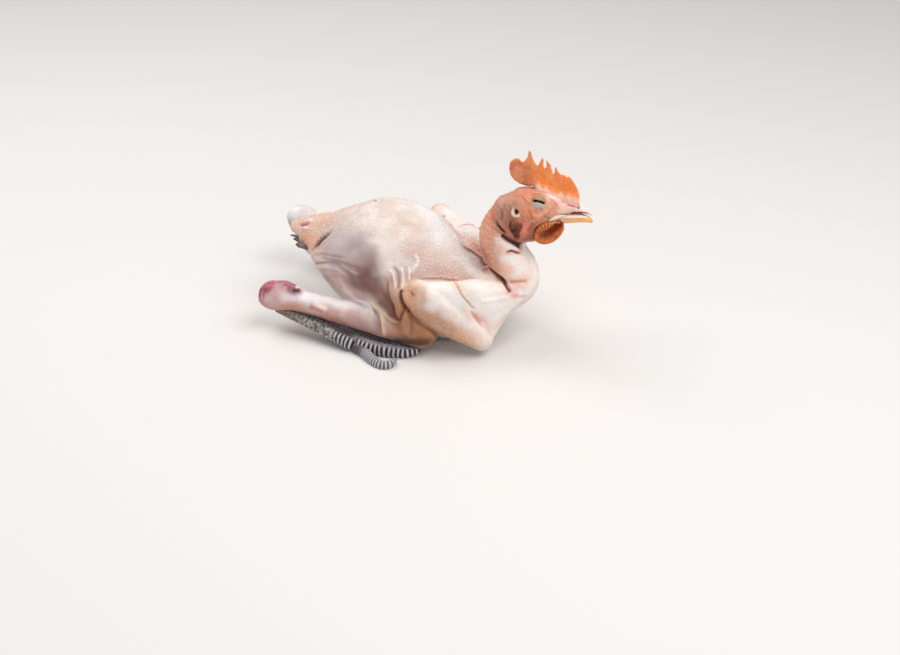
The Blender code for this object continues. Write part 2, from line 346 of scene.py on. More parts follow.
class Surface:
    """A mesh's points, in layout millimetres, while relief and colour are laid on them."""

    def __init__(self, bm, colour):
        self.mesh = bpy.data.meshes.new("surface")
        bm.to_mesh(self.mesh)
        bm.free()
        self.points = read(self.mesh.vertices, "co")
        self.normals = read(self.mesh.vertex_normals, "vector")
        self.relief = np.zeros(len(self.points))
        self.tint = np.tile(light_of(colour), (len(self.points), 1))
        self.pores = np.zeros(len(self.points))
        faces = [tuple(face.vertices) for face in self.mesh.polygons]
        self.tree = BVHTree.FromPolygons(self.points.tolist(), faces)

    def drawn(self, line):
        """The line as it runs on the surface, eased so that it has no sudden turns, and the
        directions in which the surface faces along it."""
        route = np.array(catmull_rom([line[0], *line] if len(line) == 1 else line, 6))
        for _ in range(3):
            hits = [self.tree.find_nearest(point) for point in route.tolist()]
            route = np.array([hit[0] for hit in hits])
            route[1:-1] = 0.25 * route[:-2] + 0.5 * route[1:-1] + 0.25 * route[2:]
        return route, np.array([hit[1] for hit in hits])

    def near(self, line, reach, inside=False):
        """The points within reach of a line: their numbers, distances, shares of the line and
        how far they face its way. The line is first drawn onto the surface, unless it runs
        inside the body."""
        facing = None
        if inside:
            route = np.array(catmull_rom(line, 6))
        else:
            route, facing = self.drawn(line)
        low, high = route.min(axis=0) - reach, route.max(axis=0) + reach
        which = np.flatnonzero(((self.points > low) & (self.points < high)).all(axis=1))
        step = np.diff(route, axis=0)
        offset = self.points[which, None] - route[None, :-1]
        part = np.clip((offset * step).sum(axis=2) / ((step**2).sum(axis=1) + 1e-9), 0, 1)
        away = offset - part[..., None] * step
        distance = np.linalg.norm(away, axis=2)
        best = distance.argmin(axis=1)
        rows = np.arange(len(which))
        share = (best + part[rows, best]) / len(step)
        distance = distance[rows, best]
        fits = np.ones(len(which))
        if facing is not None:
            fits = smoothstep((self.normals[which] * facing[best]).sum(axis=1), -0.1, 0.4)
        return which, distance, share, fits

    def blend(self, share, colour, which=slice(None)):
        """Draws the tint of some points, or of all, towards a colour by a share for each."""
        self.tint[which] += share[:, None] * (light_of(colour) - self.tint[which])

    def stain(self, line, reach, colour, strength, marbled=0, hard=2, inside=False):
        """Colours the skin near a line, less with distance, with an uneven edge. A marbled stain
        comes and goes over the given size, and a harder one has a sharper edge."""
        which, distance, _, fits = self.near(line, 2.2 * reach, inside)
        uneven = 1 + 0.25 * noise(self.points[which], 0.35 * reach + 2, 5)
        share = strength * fits * np.exp(-((distance * uneven / reach) ** hard))
        if marbled:
            share *= smoothstep(noise(self.points[which], marbled, 9), -0.35, 0.35)
        self.blend(share, colour, which)

    def stains(self, rows):
        """Lays a table of stains in its order."""
        for row in spread(rows):
            self.stain(*row)

    def crease(self, line, width, depth, colour=None, dark=0.5, fade=0.2):
        """Sinks a groove with soft lips along a line, or raises a ridge if depth is negative, and paints
        the colour along its middle: painted shade in a groove, a painted highlight on a ridge.
        """
        which, distance, share, fits = self.near(line, 5 * width)
        ends = smoothstep(share, 0, fade) * smoothstep(1 - share, 0, fade)
        groove = -np.exp(-((distance / width) ** 2))
        lip = FOLD_LIPS * np.exp(-(((distance - 2 * width) / (1.2 * width)) ** 2))
        self.relief[which] += depth * ends * fits * (groove + lip)
        if colour is not None:
            # The fold's colour: painted shade in a groove, a painted highlight on a ridge.
            self.blend(-dark * ends * fits * groove, colour, which)

    def swell(self, line, reach, height):
        """Raises the skin in a soft mound along a line."""
        which, distance, _, fits = self.near(line, 2.2 * reach)
        self.relief[which] += height * fits * np.exp(-((distance / reach) ** 2))

    def porous(self, line, reach, strength):
        """Marks where plucked feathers have left their follicles."""
        which, distance, _, fits = self.near(line, 2 * reach)
        amount = strength * fits * np.exp(-((distance / reach) ** 4))
        self.pores[which] = np.maximum(self.pores[which], amount)

    def lay(self):
        """Moves the points by their relief, and keeps the relief for no second time."""
        self.points += self.normals * self.relief[:, None]
        self.relief[:] = 0
        self.mesh.vertices.foreach_set("co", self.points.astype(np.float32).ravel())
        self.mesh.update()
        self.normals = read(self.mesh.vertex_normals, "vector")

    def piece(self, name, material):
        """The finished object, of the material with this name."""
        return finished(self.mesh, self.points, self.tint, self.pores, name, material)


def finished(mesh, points, tint, pores, name, material):
    """The finished object, in the frame's metres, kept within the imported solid's own box, with
    its colours as attributes."""
    low, high = (np.array(corner) / MM for corner in solid_box)
    on_board = np.clip(points + np.array(LAYOUT_SHIFT), low + BOX_MARGIN, high - BOX_MARGIN)
    mesh.vertices.foreach_set("co", (on_board * MM).astype(np.float32).ravel())
    colours = mesh.color_attributes.new("tint", "FLOAT_COLOR", "POINT")
    rgba = np.column_stack([np.clip(tint, 0, 1), np.ones(len(tint))])
    colours.data.foreach_set("color", rgba.astype(np.float32).ravel())
    follicles = mesh.attributes.new("pores", "FLOAT", "POINT")
    follicles.data.foreach_set("value", pores.astype(np.float32))
    mesh.name = name
    mesh.materials.append(flesh_material(material))
    mesh.update()
    mesh.shade_smooth()
    obj = bpy.data.objects.new(name, mesh)
    bpy.context.scene.collection.objects.link(obj)
    return obj


# ---------------------------------------------------------------------------------------------
# Colours of the skin, as red, green and blue from 0 to 255. Those named for shade are painted
# shade, and pale ones also serve as painted highlights on ridges and tops.

PALE = (237, 223, 215)
WHITE_PINK = (250, 243, 240)
BLUE_WHITE = (238, 238, 244)
PINK = (226, 200, 192)
PINK_BROWN = (214, 182, 171)
FLANK = (198, 182, 184)
FLANK_SHADE = (158, 130, 130)
FLANK_PALE = (224, 215, 214)
BELLY = (202, 150, 138)
# Painted shade in the hollow in front of each thigh and in grooves of the flank.
VALLEY_SHADE = (110, 62, 52)
VALLEY_DEEP_SHADE = (96, 46, 28)
TAN = (198, 140, 96)
# Darker tan laid as painted warm shade under the knees, low on the tail and in the wing's lower crease.
TAN_SHADE = (156, 100, 62)
THIGH_BROWN = (184, 130, 100)
WING_BROWN = (184, 128, 92)
ELBOW = (226, 166, 128)
TAN_PALE = (238, 208, 176)
APRON = (164, 114, 98)
TAIL_ORANGE = (238, 180, 150)
TAIL_DEEP = (248, 170, 126)
TAIL_RED = (206, 92, 78)
SALMON = (228, 168, 144)
SALMON_DEEP = (224, 150, 116)
SALMON_SHADE = (196, 122, 92)
# Painted shade for creases, slits, hollows and the gaps where parts meet.
CREASE_SHADE = (112, 50, 28)
# The skin's redness deep in a crease, darkened as painted shade.
CREASE_RED_SHADE = (206, 118, 100)
NECK_SHADE = (74, 16, 6)
CRIMSON = (176, 70, 92)
SCARLET = (206, 40, 74)
MAUVE = (196, 120, 142)
PURPLE = (112, 44, 62)
DRUM_RED = (186, 112, 94)
DRUM_SHADE = (154, 118, 118)
DRUM_PINK = (188, 130, 108)
DARK_GREY = (96, 92, 100)
HEAD_BROWN = (230, 142, 102)
HEAD_GREY = (190, 142, 128)
CHEEK = (156, 72, 36)
LOBE = (70, 16, 10)
LOBE_PINK = (238, 140, 114)
FACE_PINK = (248, 206, 188)
INK = (34, 30, 34)


def here(line):
    """A line just where it is given."""
    return [line]


def both(line, near=None, far=None):
    """A line on the shown side, and its mirror image, carried over to the other limb if it is
    on one. A limb is a pair of points that its bone runs between."""
    if near is None:
        return [line, [(x, -y, z) for x, y, z in line]]
    start, end = Vector(near[0]), Vector(near[1])
    bone = end - start
    carried = []
    for point in line:
        share = (Vector(point) - start).dot(bone) / bone.length_squared
        share = min(max(share, -0.3), 1.3)
        offset = Vector(point) - start.lerp(end, share)
        offset.y *= -1
        carried.append(tuple(Vector(far[0]).lerp(far[1], share) + offset))
    return [line, carried]


def on_legs(line):
    return both(line, (NEAR_LEG["knee"], NEAR_LEG["hock"]), (FAR_LEG["knee"], FAR_LEG["hock"]))


def on_wings(line):
    return both(
        line, (NEAR_WING["elbow"], NEAR_WING["wrist"]), (FAR_WING["elbow"], FAR_WING["wrist"])
    )


def off_tail(line):
    """A line beside the tail, on its right and on its left."""
    return [[(x, 6 + side * (6 + y), z) for x, y, z in line] for side in (-1, 1)]


def on_whole_head(line):
    """A line given in the head's own forward, left and up."""
    return [on_head(line)]


def each_side(rows, place=list):
    """Rows that have no placing yet, all on the right side and then all on the left."""
    return [
        (here, place((x, side * y, z) for x, y, z in line), *rest)
        for side in (-1, 1)
        for line, *rest in rows
    ]


def spread(rows):
    """Each row once for every line that its placing gives."""
    return [(line, *rest) for place, given, *rest in rows for line in place(given)]


# A stain: its placing, line, reach, colour and strength, then where it has them the size of its
# marbling, its hardness, and whether its line runs inside the body.

# Pale back, pink shoulders, grey-purple flanks, and a dark hollow in front of each thigh painted as shade.
TRUNK_STAINS = [
    (both, [(-112, -6, 84), (-100, -11, 90), (-90, -18, 92)], 13, PINK_BROWN, 0.6),
    (both, [(-92, -26, 84), (-80, -31, 88), (-66, -38, 86)], 10, FLANK, 0.6),
    (both, [(-106, -24, 62), (-84, -40, 72), (-64, -48, 70)], 22, FLANK, 0.9),
    (both, [(-96, -33, 58), (-80, -44, 66), (-66, -50, 72), (-56, -50, 80)], 9, FLANK_SHADE, 0.45),
    (both, [(-104, -25, 40), (-88, -36, 42), (-72, -48, 46)], 12, BELLY, 0.8),
    (both, [(-54, -44, 88), (-42, -41, 88), (-33, -42, 84), (-30, -48, 74)], 8, FLANK_PALE, 0.8),
    (both, [(-50, -49, 84), (-48, -53, 76), (-54, -55, 68)], 6.5, FLANK_SHADE, 0.8),
    (both, [(-52, -56, 67), (-44, -57, 60), (-35, -57, 53), (-29, -58, 41),
     (-25, -60, 34)], 9, VALLEY_SHADE, 0.72),
    (both, [(-62, -52, 56), (-54, -55, 60), (-44, -57, 54)], 5.5, VALLEY_SHADE, 0.55),
    (both, [(-57, -54, 66), (-49, -55, 65), (-42, -54, 66)], 5, VALLEY_SHADE, 0.35, 4),
    (both, [(-104, -25, 43), (-86, -38, 46), (-71, -49, 47), (-58, -53, 45)], 9, BELLY, 0.5, 8),
    (both, [(-82, -43, 51), (-73, -48, 48), (-64, -52, 48), (-56, -54, 46)], 6.5, (196, 144, 134), 0.55),
    (both, [(-69, -53, 58), (-60, -55, 58), (-52, -57, 55)], 5, VALLEY_SHADE, 0.5),
    (both, [(-48, -57, 57), (-44, -57, 51), (-37, -57, 44), (-32, -57, 38),
     (-27, -59, 34)], 5, VALLEY_SHADE, 0.7),
    (both, [(-62, -42, 88), (-58, -43, 89), (-53, -45, 87)], 5.5, (164, 150, 156), 0.6),
    (here, [(-37, -14, 104), (-33, -18, 102), (-24, -16, 98)], 6, PINK_BROWN, 0.45),
    (both, [(-12, -28, 86), (-2, -22, 82), (10, -16, 74)], 10, PINK, 0.6),
    (both, [(-80, -10, 98), (-50, -16, 102), (-24, -22, 96)], 18, PINK_BROWN, 0.42, 6),
    (both, [(-19, -34, 86), (-12, -34, 80), (-2, -32, 73), (8, -28, 68),
     (20, -22, 63)], 9, PINK_BROWN, 0.9),
    (both, [(0, -33, 68), (9, -29, 65), (18, -24, 62), (24, -19, 60)], 4.5, (206, 160, 150), 0.7),
    (both, [(8, -12, 74), (15, -10, 69), (23, -10, 64), (32, -11, 60)], 3, WHITE_PINK, 0.5),
]

# Salmon and orange, with painted shade in the crease before the tail and low on its side.
TAIL_STAINS = [
    (here, [(-148, 12, 66), (-126, 9, 70), (-110, 6, 74)], 19, TAIL_ORANGE, 0.95, 0, 2, True),
    (here, [(-129, -9, 66), (-121, -14, 68), (-113, -17, 72)], 7, TAIL_DEEP, 0.8),
    (here, [(-136, -2, 74), (-126, -7, 79)], 3.6, CREASE_RED_SHADE, 0.25),
    (here, [(-143, 3, 69), (-139, -1, 73)], 3.4, FACE_PINK, 0.6),
    (here, [(-128, -4, 80), (-124, -8, 78)], 3.5, (255, 208, 190), 0.6),
    (here, [(-109, -23, 72), (-113, -22, 68), (-117, -18, 64)], 3.5, (226, 140, 96), 0.6),
    (here, [(-104, -22, 77), (-111, -22, 68)], 2.6, CREASE_SHADE, 0.4),
    (here, [(-131, -9, 63), (-134, -5, 62)], 3.5, TAN_SHADE, 0.6),
    (here, [(-144, 2, 68), (-148, 10, 68)], 5, FACE_PINK, 0.6),
    (here, [(-132, 16, 80), (-122, 18, 84), (-110, 18, 88)], 5, WHITE_PINK, 0.7),
    (here, [(-142, 2, 65)], 2.2, (196, 130, 106), 0.8),
    (here, [(-133, -6, 74)], 1.3, WHITE_PINK, 0.9, 0, 4),
]

# Brown thighs and knees: tan skin, browner and darker towards the bottom as painted shade, and a
# hollow of painted shade in front.
THIGH_STAINS = [
    (on_legs, [(-24, -59, 44), (-16, -60, 34), (-6, -62, 26), (2, -57, 18)], 13, TAN, 0.95),
    (on_legs, [(-27, -62, 26), (-18, -63, 22), (-5, -63, 20)], 10, THIGH_BROWN, 0.85),
    (on_legs, [(-8, -63, 16), (4, -56, 16), (8, -48, 18)], 7, TAN_SHADE, 0.8),
    (on_legs, [(-42, -60, 32), (-37, -62, 24), (-32, -62, 14)], 6.5, APRON, 0.85),
    (on_legs, [(-35, -57, 52), (-30, -58, 42), (-26, -60, 34)], 4.2, VALLEY_DEEP_SHADE, 0.8),
    (on_legs, [(-50, -57, 44), (-44, -58, 40)], 4, (194, 154, 138), 0.9),
]

# Marbled drumsticks with painted highlights along their tops, brown knees darkened below as painted
# shade, and bruised hocks with painted highlights.
LEG_STAINS = [
    (here, [(-90, -59, 33), (-78, -60, 31), (-62, -60, 33)], 5, PINK_BROWN, 0.6, 5),
    (here, [(-87, -60, 28), (-78, -60, 25), (-72, -60, 23)], 4, DRUM_PINK, 0.8),
    (here, [(-88, -58, 34), (-82, -58, 33)], 3, (208, 188, 188), 0.7),
    (here, [(-66, -60, 28), (-60, -61, 26), (-52, -61, 25)], 5.5, (184, 144, 141), 0.75),
    (here, [(-84, -59, 30), (-78, -59, 30)], 3, (201, 162, 155), 0.8),
    (here, [(-49, -58, 33), (-44, -59, 33)], 4, (196, 172, 166), 0.8),
    (here, [(-101, -59, 31), (-96, -59, 30), (-92, -60, 29)], 2.3, (184, 104, 98), 0.85),
    (here, [(-121, -60, 29), (-113, -60, 29)], 3, DRUM_RED, 0.55),
    (here, [(-94, -58, 33), (-89, -59, 32)], 1.6, WHITE_PINK, 0.9),
    # Painted shade along the underside of each thigh.
    (on_legs, [(-24, -62, 18), (-14, -63, 17), (-6, -62, 15)], 5, (120, 80, 58), 0.75),
    (on_legs, [(-22, -62, 32), (-20, -62, 26)], 3.5, (138, 88, 54), 0.65),
    (on_legs, [(-11, -61, 36), (-8, -62, 31), (-3, -62, 26)], 5, (150, 108, 88), 0.7),
    (on_legs, [(-30, -62, 24), (-26, -62, 23)], 4, (204, 150, 118), 0.7),
    # A painted highlight along the top of the drumstick.
    (here, [(-58, -50, 39), (-50, -54, 37), (-42, -58, 33)], 4, WHITE_PINK, 0.8),
    (here, [(-143, -61, 38), (-136, -59, 40)], 6, MAUVE, 0.5),
    (here, [(-133, -62, 35), (-129, -62, 32), (-136, -62, 30)], 5, (206, 174, 170), 0.75),
    # A painted bluish-white highlight on the hock.
    (here, [(-124, -59, 38), (-118, -59, 36), (-111, -57, 37)], 3.6, BLUE_WHITE, 0.6),
    (here, [(-128, -61, 27), (-118, -60, 30), (-110, -60, 29)], 4.5, (206, 158, 140), 0.75),
    (here, [(-150, -56, 34), (-147, -58, 38), (-143, -56, 42)], 6.5, MAUVE, 0.9),
    (here, [(-150, -56, 34), (-147, -58, 38), (-143, -56, 42)], 6, CRIMSON, 0.55, 3),
    (here, [(-148, -60, 32)], 4.5, MAUVE, 0.7),
    (here, [(-140, -54, 44), (-131, -53, 44), (-120, -52, 42)], 4.8, (186, 108, 128), 0.9),
    (here, [(-142, -59, 41), (-140, -60, 40), (-138, -58, 42)], 2.6, (146, 54, 78), 0.8),
    (here, [(-146, -58, 39), (-147, -59, 35), (-144, -61, 34)], 2.2, PURPLE, 0.7, 2),
    (here, [(-146, -52, 44), (-139, -50, 46), (-130, -49, 45.5), (-121, -48, 44)], 2.4, CRIMSON, 0.85, 2.5),
    (here, [(-127, -55, 43), (-121, -53, 42)], 3, CRIMSON, 0.6, 2),
    (here, [(-140, -55, 44), (-137, -55, 44)], 1.4, SCARLET, 0.95, 0, 4),
    (here, [(-142, -54, 44)], 1.1, PURPLE, 0.8, 0, 4),
    (here, [(-133, -50, 45)], 1.4, PURPLE, 0.9, 0, 4),
    (here, [(-128, -48, 45)], 1.5, PURPLE, 0.9, 0, 4),
    (here, [(-127, -54, 43)], 1.2, PURPLE, 0.8, 0, 4),
    (here, [(-121, -48, 42)], 1.7, PURPLE, 0.9, 0, 4),
    (here, [(-149, -57, 38)], 1.2, PURPLE, 0.8, 0, 4),
    (here, [(-150, -55, 33)], 1.4, PURPLE, 0.7, 0, 4),
    (here, [(-122, -55, 41), (-118, -55, 39), (-115, -53, 39)], 3.2, (146, 74, 86), 0.85),
    (here, [(-119, -54, 40), (-116, -53, 40)], 1.8, INK, 0.92, 0, 4),
    # A painted highlight beside the dark spot on the hock.
    (here, [(-118, -50, 41)], 1.6, WHITE_PINK, 0.95, 0, 4),
    (on_legs, [(-39, -57, 45), (-34, -57, 40), (-30, -58, 36)], 3.6, VALLEY_DEEP_SHADE, 0.7),
    (on_legs, [(-63, -51, 45), (-57, -53, 43)], 4, (184, 134, 132), 0.65),
    (here, [(-178, 56, 42), (-176, 55, 38), (-170, 56, 36)], 5, DARK_GREY, 0.75),
    (here, [(-171, 54, 42)], 1.5, INK, 0.9, 0, 4),
]

# Bright above, with a rough tan rim browner below as painted shade, a tan elbow and a white web;
# and painted shadow where the far wing meets the back.
WING_STAINS = [
    (on_wings, [(-1, -55, 66), (8, -55, 63), (14, -54, 57), (28, -48, 46),
     (42, -43, 26)], 12, WHITE_PINK, 0.95),
    (on_wings, [(-14, -62, 52), (-2, -62, 46), (7, -61, 41), (18, -56, 34), (34, -48, 19)], 10, TAN, 0.85),
    # The lower rim browner, partly the skin's tan and partly painted shade.
    (on_wings, [(-16, -57, 46), (-7, -58, 38), (2, -58, 30), (16, -54, 20),
     (30, -48, 10)], 6, WING_BROWN, 0.85),
    (on_wings, [(7, -61, 47), (17, -57, 43), (25, -54, 36), (30, -51, 31)], 5, (212, 150, 126), 0.8, 4),
    (on_wings, [(34, -47, 24), (42, -45, 20), (50, -40, 20)], 7, (248, 222, 202), 0.8),
    (on_wings, [(-14, -60, 66), (-10, -63, 62), (-12, -63, 52)], 8.5, ELBOW, 0.95),
    (on_wings, [(-1, -59, 67), (0, -63, 62), (2, -63, 55), (8, -61, 50)], 2.5, PINK, 0.6),
    (on_wings, [(13, -36, 68), (18, -39, 66), (24, -44, 64), (29, -45, 59),
     (33, -44, 56)], 2.6, (246, 214, 182), 0.8),
    (on_wings, [(40, -38, 60), (48, -38, 52), (52, -35, 40), (48, -38, 30)], 10, (254, 248, 244), 0.95),
    (on_wings, [(38, -42, 40), (42, -38, 34), (46, -37, 30)], 3.6, (240, 164, 134), 0.75),
    (on_wings, [(47, -38, 25), (54, -33, 31), (60, -26, 37), (66, -16, 42)], 2.2, FACE_PINK, 0.7),
    (on_wings, [(-6, -62, 67), (-2, -62, 66), (1, -64, 56)], 4, (206, 164, 138), 0.7),
    (on_wings, [(26, -53, 28), (31, -51, 24), (35, -49, 21)], 4.5, (240, 174, 142), 0.65),
    (here, [(-9, -64, 65)], 3, (200, 136, 98), 0.75),
    (here, [(-9, -65, 63.4), (-7.3, -65, 62.6)], 1.1, (60, 84, 92), 0.95, 0, 4),
    (here, [(-22, 43, 82)], 1.6, DARK_GREY, 0.7, 0, 4),
    (here, [(-16, 16, 94)], 1.3, DARK_GREY, 0.4),
    # Painted shadow under the far wing's edge, where it lies against the back.
    (here, [(6, 11, 76), (10, 9, 73), (14, 12, 69), (19, 14, 65), (21, 18, 62)], 3.6, CREASE_SHADE, 0.8),
    (here, [(0, 31, 70), (6, 28, 67), (11, 25, 65), (16, 25, 64)], 3, SALMON_DEEP, 0.35),
    (here, [(12, 22, 66), (14, 24, 63), (17, 25, 64)], 2.2, (206, 124, 96), 0.6),
    (here, [(-8, 14, 86), (0, 12, 82), (8, 13, 76)], 3.5, WHITE_PINK, 0.8),
    # Painted shadow under the far wing's tip.
    (here, [(12, 14, 69), (15, 16, 67)], 2.2, (160, 98, 78), 0.7),
    (here, [(3, 31, 71), (7, 29, 69)], 3, (242, 196, 170), 0.7),
]

# The neck's stains, and further down the head's, lie on both sides and have no placing.
NECK_STAINS = [
    ([(33, 14, 92), (36, 16, 82), (40, 17, 76), (50, 18, 70)], 8, SALMON_DEEP, 0.7),
    ([(60, 14, 92), (62, 17, 80)], 7, WHITE_PINK, 0.8),
    ([(66, 14, 74), (68, 16, 58)], 10, WHITE_PINK, 0.7),
    ([(36, 13, 109), (40, 16, 101), (47, 16, 104)], 7, (236, 178, 156), 0.6),
    ([(44, 8, 130), (49, 10, 129), (47, 13, 121)], 6.5, (190, 146, 130), 0.75),
    ([(54, 19, 76), (58, 19, 75)], 4.5, (252, 202, 178), 0.7),
    ([(64, 17, 63), (66, 16, 64)], 3.5, (252, 192, 168), 0.6),
    ([(60, 26, 58), (66, 25, 55)], 3.5, (228, 164, 152), 0.75),
    ([(70, 15, 66), (72, 11, 60)], 4.5, FACE_PINK, 0.6),
    ([(50, 18, 64), (59, 21, 61), (67, 17, 63), (73, 8, 65)], 5, FACE_PINK, 0.8),
    ([(38, 13, 72), (47, 17, 66), (55, 21, 61)], 2.6, CREASE_SHADE, 0.55),
    ([(44, 15, 110), (51, 14, 103), (58, 10, 95), (63, 5, 89)], 3.4, CREASE_SHADE, 0.6),
    ([(47, 17, 99), (56, 15, 92), (61, 12, 89.5)], 2.6, WHITE_PINK, 0.85),
    ([(53, 19, 83), (60, 17, 83)], 3.5, WHITE_PINK, 0.7),
    ([(55, 16, 88), (60, 13, 88), (65, 9, 86)], 1.8, CREASE_RED_SHADE, 0.5),
]

# Painted light under the throat over its pale skin, painted shadow behind the neck's foot, and the
# whole head's own colour.
NAPE_STAINS = [
    (here, [(71, -14, 53), (75, -8, 62), (76, -4, 68)], 6, (255, 248, 243), 0.7),
    (here, [(14, 12, 69), (20, 16, 63), (26, 11, 62), (31, 3, 66)], 3.4, NECK_SHADE, 0.8),
    (on_whole_head, [(-6, 0, 4), (14, 0, 0), (40, 0, 4)], 23, HEAD_BROWN, 0.95, 0, 4, True),
]

# Reddish-brown face, paler before the eye, browner on the cheek, greyer behind, with painted shade
# in the ear hole, the nostril and the mouth line, and a painted highlight on the forehead.
HEAD_STAINS = [
    ([(20, 12, 10), (12, 12, -4), (30, 8, 8)], 16, FACE_PINK, 0.4, 3),
    ([(20, 12, 6), (10, 12, -2), (28, 8, 0)], 14, CHEEK, 0.4, 2.2),
    ([(-4, 13, 12), (-9, 12, 6), (-11, 11, -2)], 8, HEAD_GREY, 0.8),
    ([(-7, 12, 11), (-6, 12, 5), (-5.6, 12, 1)], 3.4, (146, 110, 100), 0.7),
    ([(9, 13, 17), (11, 14, 10), (10, 13, 2)], 4.5, (222, 128, 84), 0.6),
    ([(13, 10, 22), (19, 10, 22.5), (24, 9, 20)], 4, (236, 150, 112), 0.6),
    ([(26, 6, 23), (30, 6, 19), (34, 6, 15), (44, 4, 13)], 6, FACE_PINK, 0.85),
    ([(36, 7, 6), (42, 6, 5), (48, 5, 5)], 6, (250, 214, 204), 0.85),
    ([(29, 9, 12), (31, 9, 7), (29, 9, 3)], 3.5, (222, 150, 124), 0.6),
    ([(34.7, 5, 15.3), (40.7, 5, 15), (47.4, 4, 13)], 2.6, (244, 170, 164), 0.7, 0, 4),
    ([(37.4, 6, 12.9), (42.7, 5, 12.2), (48.1, 4, 11.1)], 1.2, (224, 112, 108), 0.7, 0, 4),
    ([(41.5, 6, 9.6), (43.5, 6, 8.2), (46.4, 5, 7.4)], 0.9, (218, 92, 108), 0.85, 0, 4),
    ([(12, 12, -2), (18, 11, -4), (22, 10, 0)], 5, CHEEK, 0.55),
    ([(10, 12, -8), (14, 10, -14), (14, 9, -19)], 7.5, CHEEK, 0.9),
    ([(20, 9, -7), (27, 8, -5), (34, 7, -4)], 4, CHEEK, 0.6),
    ([(-3, 13, -1), (-6, 12, -8), (-2, 11, -16), (6, 9, -21)], 4.5, CHEEK, 0.7),
    ([(6.2, 13, -3), (7.8, 12, -6), (6.6, 11, -11)], 3.8, LOBE_PINK, 0.9),
    ([(5, 14, -1.4), (7, 13.5, -2.8)], 1.2, (206, 84, 74), 0.7, 0, 4),
    ([(-2.4, 12, -4.2), (0.6, 12, -4.4), (3.2, 12, -5.2)], 2.4, (140, 84, 66), 0.95, 0, 4),
    ([(-2.6, 12, -7.6), (0.4, 12, -8.6), (2.6, 12, -8)], 2.6, (112, 46, 30), 0.95, 0, 4),
    ([(-1.6, 11, -11.6), (1.2, 11, -12.6), (0.8, 10.5, -16.4)], 2.7, LOBE, 0.95, 0, 4),
    ([(2.4, 11, -11), (1.6, 11, -14)], 1.3, (128, 40, 34), 0.8, 0, 4),
    ([(-2.6, 13.5, 7.8), (-2.9, 13.5, 4.8), (-1.2, 14, 2.9),
     (1.8, 14, 3.4)], 1.3, (254, 238, 218), 0.95, 0, 4),
    ([(-1.6, 13.5, 9.3), (0.6, 13.5, 9), (2.3, 14, 7.4)], 1.2, (196, 142, 104), 0.9, 0, 4),
    # Painted shade in the ear's hole.
    ([(-0.3, 14, 6.8), (-0.2, 14, 5.2)], 1.9, (64, 16, 8), 1, 0, 4),
    ([(47, 4, 7.6), (49.4, 3.6, 5.6)], 1, (216, 92, 108), 0.8, 0, 4),
    ([(48, 3, 10.4), (50, 3, 8.6)], 1.1, (224, 110, 116), 0.85, 0, 4),
    # Painted shade in the nostril's opening.
    ([(49.2, 3.6, 5.6)], 0.9, (90, 34, 34), 0.9, 0, 4),
    ([(15, 12, 2), (18, 12, -1), (13, 12, 6)], 4, (236, 150, 114), 0.65),
    ([(1.6, 5.5, 18.8), (-3, 6, 17)], 5, (194, 138, 112), 0.7),
    ([(7, 6.5, 19.5), (12, 6, 20), (18, 6, 19.5)], 4, (226, 142, 104), 0.7),
    # A painted highlight on the forehead.
    ([(29, 5, 16.5), (34, 4, 15.5)], 3.2, WHITE_PINK, 0.7),
    ([(26, 10.5, 10), (28, 10, 7)], 3, (228, 160, 122), 0.6),
    ([(32.7, 8.5, 9), (34, 8, 6)], 2.6, (250, 196, 174), 0.6, 0, 4),
    # Painted shade along the line of the mouth.
    ([(35.5, 7.6, 0.9), (38, 6.8, 0.7), (42, 4.6, 0.2)], 0.8, (104, 26, 16), 0.95, 0, 4),
    ([(24, 10, 0), (28, 9, 2)], 4, (224, 138, 98), 0.5),
    ([(17.4, 12, 21.4), (9.4, 12, 18), (8.6, 12, 9), (13.6, 12, 3.6)], 1.3, (190, 166, 138), 0.3, 0, 4),
    ([(14, 12, 4.2), (18, 12, 3.4), (23, 11, 5.6)], 1.1, (236, 206, 180), 0.3, 0, 4),
    ([(-13, 5, 14), (-10, 8.5, 11.6), (-14, 9, 5), (-13, 10.5, 1)], 6, (190, 146, 130), 0.75),
    ([(25, 8, -5.4), (30, 8, -5), (35, 7, -4.4)], 1.4, (132, 58, 30), 0.85, 0, 4),
    ([(20, 12, 8), (14, 12, 0), (26, 10, 2)], 10, FACE_PINK, 0.25, 2.4),
]

